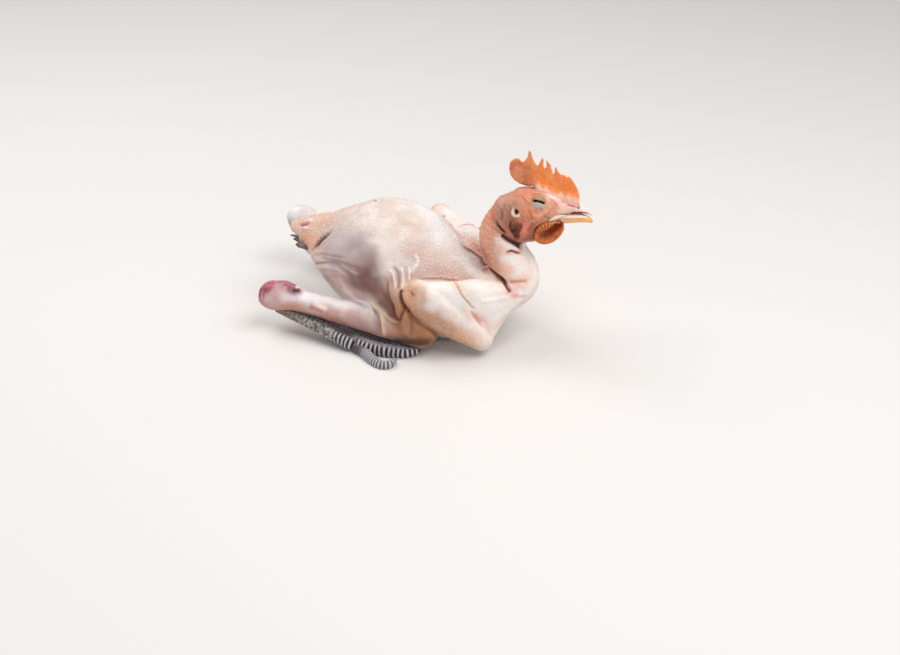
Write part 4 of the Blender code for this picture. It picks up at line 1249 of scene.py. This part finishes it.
def lower_beak():
    """Yellow horn with a pale upper edge, turning to skin at the throat."""
    lower = Surface(fused([loft(LOWER_BEAK)], HORN_VOXEL, 2), (250, 190, 118))
    forward = lower.points[:, 0]
    lower.blend(0.85 * (1 - smoothstep(forward, 38, 47)), (226, 180, 156))
    lower.blend(0.8 * (1 - smoothstep(forward, 30, 37)), (200, 120, 84))
    lower.stains(each_side(LOWER_RIM))
    for row in spread(each_side(LOWER_CREASE)):
        lower.crease(*row)
    lower.lay()
    return lower


def mouth_corner(side, name):
    """The pale fold where the upper and the lower beak meet."""
    line = [(x, y * side, z) for x, y, z in MOUTH_CORNER]
    surface = Surface(fused([loft(along(line, CORNER_GIRTH))], CORNER_VOXEL, 2), (246, 222, 198))
    return head_piece(surface, name, "mouth_skin")


def beak():
    """Upper and lower beak, the dark gap of the mouth, its inside painted dark as shade, and the fold
    at each of its corners.
    """
    # The inside of the mouth, painted dark as the shade between the beaks.
    inside = Surface(fused([loft(MOUTH)], HORN_VOXEL, 2), (138, 36, 26))
    return [
        head_piece(upper_beak(), "beak_upper", "beak_horn"),
        head_piece(lower_beak(), "beak_lower", "beak_horn"),
        head_piece(inside, "mouth_inside", "mouth_skin"),
        mouth_corner(-1, "mouth_corner_right"),
        mouth_corner(1, "mouth_corner_left"),
    ]


EYE_AT = (17.4, 9.6, 12.2)
EYE_SIZE = (6.8, 4.6, 7.2)
LID_VOXEL = 0.4
LID_RINGS = [(5.3, (228, 212, 186)), (6.2, (150, 96, 66))]


def beside_head(side, out, *points):
    """A line given as forward and up, on one side of the head."""
    return [(x, out * side, z) for x, z in points]


def eye(side, name):
    """A shut eye: a swollen pair of lids, a black slit of painted shade between them and a pale blue
    rim of lower lid.
    """
    forward, out, up = EYE_AT
    bm = bmesh.new()
    shape = Matrix.Translation((forward, out * side, up)) @ Matrix.Diagonal((*EYE_SIZE, 1))
    bmesh.ops.create_uvsphere(bm, u_segments=40, v_segments=24, radius=1, matrix=shape)
    surface = Surface(fused([bm], LID_VOXEL, 1), (202, 170, 142))
    away = np.hypot(surface.points[:, 0] - forward, (surface.points[:, 2] - up) * 0.94)
    for radius, colour in LID_RINGS:
        ring = np.exp(-(((away - radius) / 0.5) ** 2))
        surface.relief -= 0.3 * ring
        surface.blend(0.6 * ring, colour)

    def at(*points):
        return beside_head(side, 14.5, *points)

    surface.stain(at((13.9, 12.6), (17.2, 12.6), (20.9, 12)), 1.3, (216, 206, 190), 0.7)
    surface.stain(at((14.4, 10.6), (17.3, 9.6), (20.6, 10.4)), 1.6, (172, 186, 198), 0.9, 0, 3)
    surface.stain(at((12.6, 17.9), (17.4, 19.4), (22.6, 17)), 1.3, (176, 116, 84), 0.7)
    surface.crease(at((13.4, 8.6), (17.5, 7.4), (21.6, 8.6)), 0.6, 0.5, (150, 120, 96), 0.6)
    slit = at((12.9, 16.0), (16.2, 15.7), (19.8, 14.8), (23.0, 13.5))
    surface.crease(slit, 0.9, 1.5, fade=0.1)
    # The slit's black is painted shade between the shut lids.
    surface.stain(slit, 1.15, (14, 10, 10), 1, 0, 6)
    surface.lay()
    return head_piece(surface, name, "eyelid_skin")


WATTLE_MIDDLE = (27, -13.5)
WATTLE_RIM = [
    (39.2, -12.0), (38.6, -7.4), (35.4, -4.2), (30.0, -4.2), (24.4, -4.8), (19.6, -7.4), (16.2, -11.5),
    (14.9, -18.0), (17.6, -22.4), (23.5, -24.4), (30.6, -22.6), (36.2, -17.8),
]
WATTLE_HOLLOW = [(22.6, -16.2), (27.5, -14.6), (32.0, -11.0), (35.0, -7.8)]
WATTLE_PLEAT = 0.14
WATTLE_RINGS = 26
WATTLE_STEPS = 9
WATTLE_OUT = 8.6
WATTLE_HALF = 1.3
WATTLE_CUP = 4.6
CUP_REACH = 3.1
WATTLE_STAINS = [
    ([(18, -14), (20, -19), (25, -21)], 5, (178, 94, 42), 0.8),
    ([(18, -14), (21, -8), (26, -6), (32, -4.5)], 4, (252, 180, 126), 0.9),
    ([(22, -19.4), (28, -19.6), (33, -16.6)], 2.6, (150, 70, 26), 0.7, 2),
    ([(30, -20.5), (35.5, -17), (38.2, -11), (37, -6.5)], 2.4, (240, 120, 56), 0.8),
]


def from_hollow(x, z):
    """How far a place on the wattle is from the line of its hollow."""
    best = 99.0
    for (ax, az), (bx, bz) in zip(WATTLE_HOLLOW, WATTLE_HOLLOW[1:]):
        part = ((x - ax) * (bx - ax) + (z - az) * (bz - az)) / ((bx - ax) ** 2 + (bz - az) ** 2)
        part = min(max(part, 0.0), 1.0)
        best = min(best, math.hypot(x - ax - part * (bx - ax), z - az - part * (bz - az)))
    return best


def cup_depth(x, z):
    return WATTLE_CUP * math.exp(-((from_hollow(x, z) / CUP_REACH) ** 2))


def wattle_out(x, z, reach, face):
    """How far from the head's middle the outer or the inner face of a wattle lies."""
    half = WATTLE_HALF * math.sqrt(max(0.0, 1 - reach**6))
    lean = 0.10 * (x - 27) + 0.05 * (z + 13)
    roll = 1.3 * math.exp(-(((reach - 0.86) / 0.12) ** 2))
    hang = 1 / (1 + math.exp(-(z + 13 - 0.5 * (x - 24)) / 1.2))
    left = 1 / (1 + math.exp((x - 29) / 1.2))
    fan = math.atan2(z + 26, x - 29) / WATTLE_PLEAT
    pleat = 1.0 * hang * left * math.cos(2 * math.pi * fan)
    return WATTLE_OUT - lean + face * half - cup_depth(x, z) + roll + pleat


def wattle_flap(side):
    """The flap itself: an outer and an inner face of rings round a hub, joined at the rim."""
    rim = catmull_rom(WATTLE_RIM + WATTLE_RIM[:1], WATTLE_STEPS)[:-1]
    count = len(rim)
    middle_x, middle_z = WATTLE_MIDDLE
    bm = bmesh.new()
    edges = []
    for face in (1, -1):
        rings = []
        for ring in range(1, WATTLE_RINGS + (face == 1)):
            reach = ring / WATTLE_RINGS
            rings.append([])
            for x, z in rim:
                px = middle_x + reach * (x - middle_x)
                pz = middle_z + reach * (z - middle_z)
                rings[-1].append(bm.verts.new((px, side * wattle_out(px, pz, reach, face), pz)))
        hub_out = WATTLE_OUT + face * WATTLE_HALF - cup_depth(*WATTLE_MIDDLE)
        hub = bm.verts.new((middle_x, side * hub_out, middle_z))
        for k in range(count):
            n = (k + 1) % count
            bm.faces.new((hub, rings[0][k], rings[0][n]))
            for before, after in zip(rings, rings[1:]):
                bm.faces.new((before[k], after[k], after[n], before[n]))
        edges.append(rings[-1])
    outer, inner = edges
    for k in range(count):
        n = (k + 1) % count
        bm.faces.new((outer[k], inner[k], inner[n], outer[n]))
    bmesh.ops.recalc_face_normals(bm, faces=bm.faces)
    return bm


def wattle(side, name):
    """A cupped flap: pleated where it hangs from the jaw, hollow inside, with a rolled rim, and painted
    shade in the troughs of the pleats and deep in the hollow.
    """
    surface = Surface(wattle_flap(side), (216, 124, 66))
    for line, *rest in WATTLE_STAINS:
        surface.stain(beside_head(side, 9, *line), *rest)
    forward, up = surface.points[:, 0], surface.points[:, 2]
    fan = np.arctan2(up + 26, forward - 29) / WATTLE_PLEAT
    folded = smoothstep(up, -13.5, -9) * (1 - smoothstep(forward, 27, 31))
    # Painted shade in the troughs of the pleats.
    surface.blend(0.5 * folded * np.clip(-np.cos(2 * math.pi * fan), 0, 1), (166, 86, 50))
    # Painted shade deep in the cup's hollow.
    depth = np.array([from_hollow(x, z) for x, _, z in surface.points.tolist()])
    hollow = np.exp(-((depth / 3.7) ** 4)) * (0.6 + 0.4 * smoothstep(forward, 22, 28))
    surface.blend(0.95 * hollow, (118, 38, 8))
    surface.relief += 0.15 * noise(surface.points, 1.6, 51)
    surface.lay()
    return head_piece(surface, name, "wattle_flesh")


# ---------------------------------------------------------------------------------------------
# Feet and feather stubs.

SCALE_LIGHT = (206, 201, 208)
SCALE_YELLOW = (182, 168, 138)
SCALE_GREY = (150, 143, 150)
SCALE_DARK = (50, 47, 54)
# Dark grey painted shade for the curled toe's root and the middle toe.
SCALE_ROOT_SHADE = (92, 82, 84)
SCALE_RING = (104, 104, 114)
SCALE_SHADE = (24, 20, 24)
SCALE_WARM = (130, 106, 90)
SCUTE = 3.7
FINE_SCUTE = 2.5
PLATE = 4.4
PLATE_ROUND = 1.4
FOOT_VOXEL = 0.55


def along_limbs(points, lines):
    """For each point the number of the limb it lies on, how far along that limb it is in
    millimetres and as a share, and its angle round it."""
    nearest = np.full(len(points), 1e9)
    found = np.zeros((4, len(points)))
    for number, (line, profile) in enumerate(lines):
        rows = np.array(catmull_rom(along(line, profile), 12))
        best, lengths, arm, distance = nearest_on(points, rows[:, :3])
        share = distance / rows[best, 3]
        tangent = np.gradient(rows[:, :3], axis=0)[best]
        tangent /= np.linalg.norm(tangent, axis=1)[:, None]
        side = np.cross(tangent, (0, 0, 1))
        height = np.cross(side, tangent)
        turn = np.arctan2((arm * height).sum(axis=1), (arm * side).sum(axis=1))
        at = lengths[best] + (arm * tangent).sum(axis=1)
        here = share < nearest
        nearest[here] = share[here]
        limb = np.full(len(points), number)
        found[:, here] = np.array([limb, at, lengths[best] / lengths[-1], turn])[:, here]
    return found


def foot(shank, toes, sole, name):
    """Shank and toes with raised scutes: rounded plates up the shank, bars across the toes, and painted
    shade on the middle toe, on the curled toe's root and along the top under the drumstick.
    """
    lines = [(shank, SHANK)] + [(toe, TOE[kind]) for kind, toe in toes.items()]
    parts = [loft(along(points, profile)) for points, profile in lines + [(sole, SOLE_GIRTH)]]
    surface = Surface(fused(parts, FOOT_VOXEL, 2), SCALE_LIGHT)
    limb, at, travelled, turn = along_limbs(surface.points, lines)
    kind = np.array(["shank", *toes])[limb.astype(int)]
    toe = np.where(kind == "shank", smoothstep(travelled, 0.68, 0.94), 1.0)
    ankle = (kind == "shank") * (1 - smoothstep(travelled, 0.2, 0.5))
    ringed = (kind == "curled") * 1.0
    bare = (kind == "middle") * 1.0
    root = ringed * (1 - smoothstep(travelled, 0.16, 0.34))
    at += 0.55 * noise(surface.points, 5, 61)
    bars = np.cos(2 * math.pi * at / np.where(kind == "curled", FINE_SCUTE, SCUTE))
    row = np.floor(at / PLATE)
    column = turn * PLATE_ROUND + 0.5 * (row % 2) + 0.5 * noise(surface.points, 4, 62)
    off = np.hypot(at / PLATE - row - 0.5, column - np.floor(column) - 0.5)
    off += 0.34 * noise(surface.points, 1.9, 65)
    plates = 1 - 2 * smoothstep(off, 0.25, 0.75)
    shade = 0.86 + 0.16 * np.sin(12.9898 * row + 78.233 * np.floor(column))
    facing_down = smoothstep(-np.sin(turn), -0.97, -0.72)
    facing_down = np.maximum(facing_down, ringed) * (1 - bare)
    pebbles = 0.7 * noise(surface.points, 1.1, 63)
    relief = toe * (facing_down * bars + (1 - facing_down) * pebbles) + (1 - toe) * plates
    surface.relief += 0.5 * np.clip(relief, -1, 0.7)
    barred = toe * facing_down
    light = smoothstep(relief - 0.4 * barred, -0.6, 0.6 - 0.15 * barred)
    surface.blend(smoothstep(noise(surface.points, 4.5, 64), -0.3, 0.5) * (1 - toe), SCALE_YELLOW)
    surface.tint *= 1 - ((1 - toe) * (1.24 - shade))[:, None]
    surface.blend(0.7 * ankle, SCALE_WARM)
    # Painted shade on the curled toe's root and on the middle toe, which lie in the shadow of the main toe
    # and the drumstick.
    surface.blend(0.75 * root + 0.7 * bare, SCALE_ROOT_SHADE)
    plain = toe * (1 - facing_down) * (1 - bare)
    surface.blend(plain, SCALE_GREY)
    raised = surface.tint.copy()
    surface.tint[:] = light_of(SCALE_DARK)
    surface.blend(0.6 * plain + 0.3 * (1 - toe), SCALE_GREY)
    surface.blend(ringed * (1 - root), SCALE_RING)
    surface.tint += light[:, None] * (raised - surface.tint)
    # Painted shadow along the top of the foot where the drumstick lies over it, and on the middle toe.
    leg_shadow = smoothstep(np.sin(turn), 0.6, 0.95) * smoothstep(surface.points[:, 2], 12, 16)
    leg_shadow = np.maximum(leg_shadow, bare * smoothstep(surface.points[:, 2], 8, 13))
    surface.blend(0.85 * leg_shadow, SCALE_SHADE)
    surface.lay()
    return surface.piece(name, "foot_scales")


STUB_VOXEL = 0.5
STUB_TAPER = [(0, 1), (0.7, 0.85), (1, 0.4)]
STUBS = [
    ((-139, 1, 64), (-146.5, 0, 64.4), 1.1),
    ((-129, -5, 62), (-141, -4, 62.5), 2.2),
    ((-126, -7, 61), (-136, -5, 60.5), 1.7),
    ((-126, -9, 60), (-137, -7.5, 59.5), 3),
    ((-133, -5, 66), (-144.5, -4, 65.6), 1.2),
]


def feather_stubs():
    """Short dark quills left under the tail."""
    parts = [
        loft(along([start, end], [(share, girth * size, girth * size) for share, size in STUB_TAPER]))
        for start, end, girth in STUBS
    ]
    surface = Surface(fused(parts, STUB_VOXEL, 2), (118, 110, 108))
    surface.relief += 0.3 * noise(surface.points, 1.5, 71)
    surface.tint *= 1 + 0.3 * noise(surface.points, 2.5, 72)[:, None]
    surface.lay()
    return surface.piece("feather_stubs", "quill_stub")


# ---------------------------------------------------------------------------------------------
# Materials.


def new_material(name):
    """A material with its nodes, their links and its shader."""
    material = bpy.data.materials.new(name)
    material.use_nodes = True
    tree = material.node_tree
    return material, tree.nodes, tree.links, tree.nodes["Principled BSDF"]


def add_node(nodes, links, kind, inputs, output=0, **settings):
    """A node with its settings, its inputs set or linked, and the output to go on from."""
    node = nodes.new("ShaderNode" + kind)
    for key, value in settings.items():
        setattr(node, key, value)
    for socket, value in inputs.items():
        if isinstance(value, bpy.types.NodeSocket):
            links.new(value, node.inputs[socket])
        else:
            node.inputs[socket].default_value = value
    return node.outputs[output]


# How rough each kind of flesh or horn is, and how far light gets into it.
FLESH = {
    "raw_skin_moist": (0.42, 1.0),
    "comb_flesh": (0.4, 1.0),
    "wattle_flesh": (0.38, 1.0),
    "eyelid_skin": (0.3, 0.6),
    "mouth_skin": (0.35, 0.7),
    "beak_horn": (0.32, 0.4),
    "foot_scales": (0.45, 0.3),
    "quill_stub": (0.5, 0.2),
}


def flesh_material(name):
    """Moist skin or horn: painted colour, fine mottling, follicles, soft light inside, fine bumps."""
    if name in bpy.data.materials:
        return bpy.data.materials[name]
    material, nodes, links, shader = new_material(name)
    roughness, softness = FLESH[name]

    def add(kind, inputs, output=0, **settings):
        return add_node(nodes, links, kind, inputs, output, **settings)

    def combined(operation, first, second):
        return add("Math", {0: first, 1: second}, operation=operation)

    def in_range(value, low, high):
        spread_out = {"Value": value, "From Min": 0.3, "From Max": 0.7, "To Min": low, "To Max": high}
        return add("MapRange", spread_out)

    place = add("TexCoord", {}, "Object")
    coarse = add("TexNoise", {"Scale": 420, "Detail": 3, "Vector": place}, "Fac")
    fine = add("TexNoise", {"Scale": 1500, "Detail": 2, "Vector": place}, "Fac")
    dots = add("TexVoronoi", {"Scale": 330, "Randomness": 0.55, "Vector": place}, "Distance")
    dot = add("MapRange", {"Value": dots, "From Min": 0.42, "From Max": 0.18},
              interpolation_type="SMOOTHSTEP")
    pores = add("Attribute", {}, "Fac", attribute_name="pores")
    follicle = combined("MULTIPLY", dot, pores)

    tint = add("Attribute", {}, "Color", attribute_name="tint")
    mottled = {0: 1.0, 6: tint, 7: in_range(coarse, 0.95, 1.04)}
    base = add("Mix", mottled, 2, data_type="RGBA", blend_type="MULTIPLY")
    dotted = {0: combined("MULTIPLY", follicle, 0.3), 6: base, 7: (0.95, 0.86, 0.78, 1)}
    links.new(add("Mix", dotted, 2, data_type="RGBA"), shader.inputs["Base Color"])
    links.new(in_range(coarse, roughness - 0.06, roughness + 0.1), shader.inputs["Roughness"])

    height = combined("ADD", combined("MULTIPLY", coarse, 0.00022), combined("MULTIPLY", fine, 0.00006))
    height = combined("ADD", height, combined("MULTIPLY", follicle, 0.00035))
    bump = add("Bump", {"Height": height, "Strength": 0.8, "Distance": 1.0})
    links.new(bump, shader.inputs["Normal"])
    shader.inputs["Subsurface Weight"].default_value = 0.3 * softness
    shader.inputs["Subsurface Radius"].default_value = (1.0, 0.36, 0.2)
    shader.inputs["Subsurface Scale"].default_value = 0.004
    shader.inputs["Specular IOR Level"].default_value = 0.3
    shader.inputs["Coat Weight"].default_value = 0.05
    shader.inputs["Coat Roughness"].default_value = 0.25
    return material


def floor_material():
    material, nodes, links, shader = new_material("studio_floor")
    cloud = add_node(nodes, links, "TexNoise", {"Scale": 3}, "Fac")
    tone = add_node(nodes, links, "MapRange", {"Value": cloud, "To Min": 0.80, "To Max": 0.84})
    links.new(tone, shader.inputs["Base Color"])
    shader.inputs["Roughness"].default_value = 0.8
    shader.inputs["Specular IOR Level"].default_value = 0.2
    return material


# ---------------------------------------------------------------------------------------------
# Floor, light and camera.

FLOOR_REACH = 20.0
FLOOR_DROP = 0.0002
CAMERA_LENS = 60
CAMERA_DISTANCE = 1.28
CAMERA_TURN = math.radians(20)
CAMERA_TILT = math.radians(29)


def stage_floor():
    bm = bmesh.new()
    bmesh.ops.create_grid(bm, x_segments=4, y_segments=4, size=FLOOR_REACH)
    mesh = bpy.data.meshes.new("studio_floor")
    bm.to_mesh(mesh)
    bm.free()
    mesh.materials.append(floor_material())
    floor = bpy.data.objects.new("studio_floor", mesh)
    floor.location.z = -FLOOR_DROP
    bpy.context.scene.collection.objects.link(floor)


def aim(obj, target):
    obj.rotation_euler = (Vector(target) - obj.location).to_track_quat("-Z", "Y").to_euler()


def softbox(name, place, size, power, colour):
    light = bpy.data.lights.new(name, "AREA")
    light.shape = "RECTANGLE"
    light.size, light.size_y = size
    light.energy = power
    light.color = colour
    obj = bpy.data.objects.new(name, light)
    obj.location = place
    aim(obj, (0, 0, 0.05))
    bpy.context.scene.collection.objects.link(obj)


def studio_light():
    softbox("key_softbox", (0.75, -0.25, 1.3), (1.2, 0.9), 13.5, (1, 0.965, 0.935))
    softbox("side_softbox", (-0.8, 0.05, 1.2), (1.1, 0.9), 9.2, (1, 0.97, 0.94))
    world = bpy.data.worlds.new("studio")
    world.use_nodes = True
    world.node_tree.nodes["Background"].inputs["Color"].default_value = (1, 0.958, 0.932, 1)
    world.node_tree.nodes["Background"].inputs["Strength"].default_value = 0.42
    bpy.context.scene.world = world


def camera():
    data = bpy.data.cameras.new("camera")
    data.lens = CAMERA_LENS
    obj = bpy.data.objects.new("camera", data)
    middle = LAYOUT_SHIFT * MM
    back = Vector((
        math.sin(CAMERA_TURN) * math.cos(CAMERA_TILT),
        -math.cos(CAMERA_TURN) * math.cos(CAMERA_TILT),
        math.sin(CAMERA_TILT),
    ))
    obj.location = middle + back * CAMERA_DISTANCE
    aim(obj, middle)
    bpy.context.scene.collection.objects.link(obj)
    bpy.context.scene.camera = obj


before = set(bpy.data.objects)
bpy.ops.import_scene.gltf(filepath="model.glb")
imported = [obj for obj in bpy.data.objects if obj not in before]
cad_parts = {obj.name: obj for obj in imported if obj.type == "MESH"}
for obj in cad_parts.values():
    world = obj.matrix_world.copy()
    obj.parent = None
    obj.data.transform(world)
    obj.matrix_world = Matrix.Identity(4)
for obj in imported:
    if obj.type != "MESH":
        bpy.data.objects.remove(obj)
solid_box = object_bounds()
camera()
studio_light()
stage_floor()
bpy.context.scene.view_settings.view_transform = "Standard"

pieces = [*build_skin(), comb(), *beak()]
pieces += [eye(-1, "eye_right"), eye(1, "eye_left"), wattle(-1, "wattle_right"), wattle(1, "wattle_left")]
pieces.append(foot(NEAR_SHANK, NEAR_TOES, SOLE, "foot_right"))
pieces.append(foot(FAR_SHANK, FAR_TOES, FAR_SOLE, "foot_left"))
pieces.append(feather_stubs())
for piece in pieces:
    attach(piece, "root")
    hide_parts("whole_chicken")
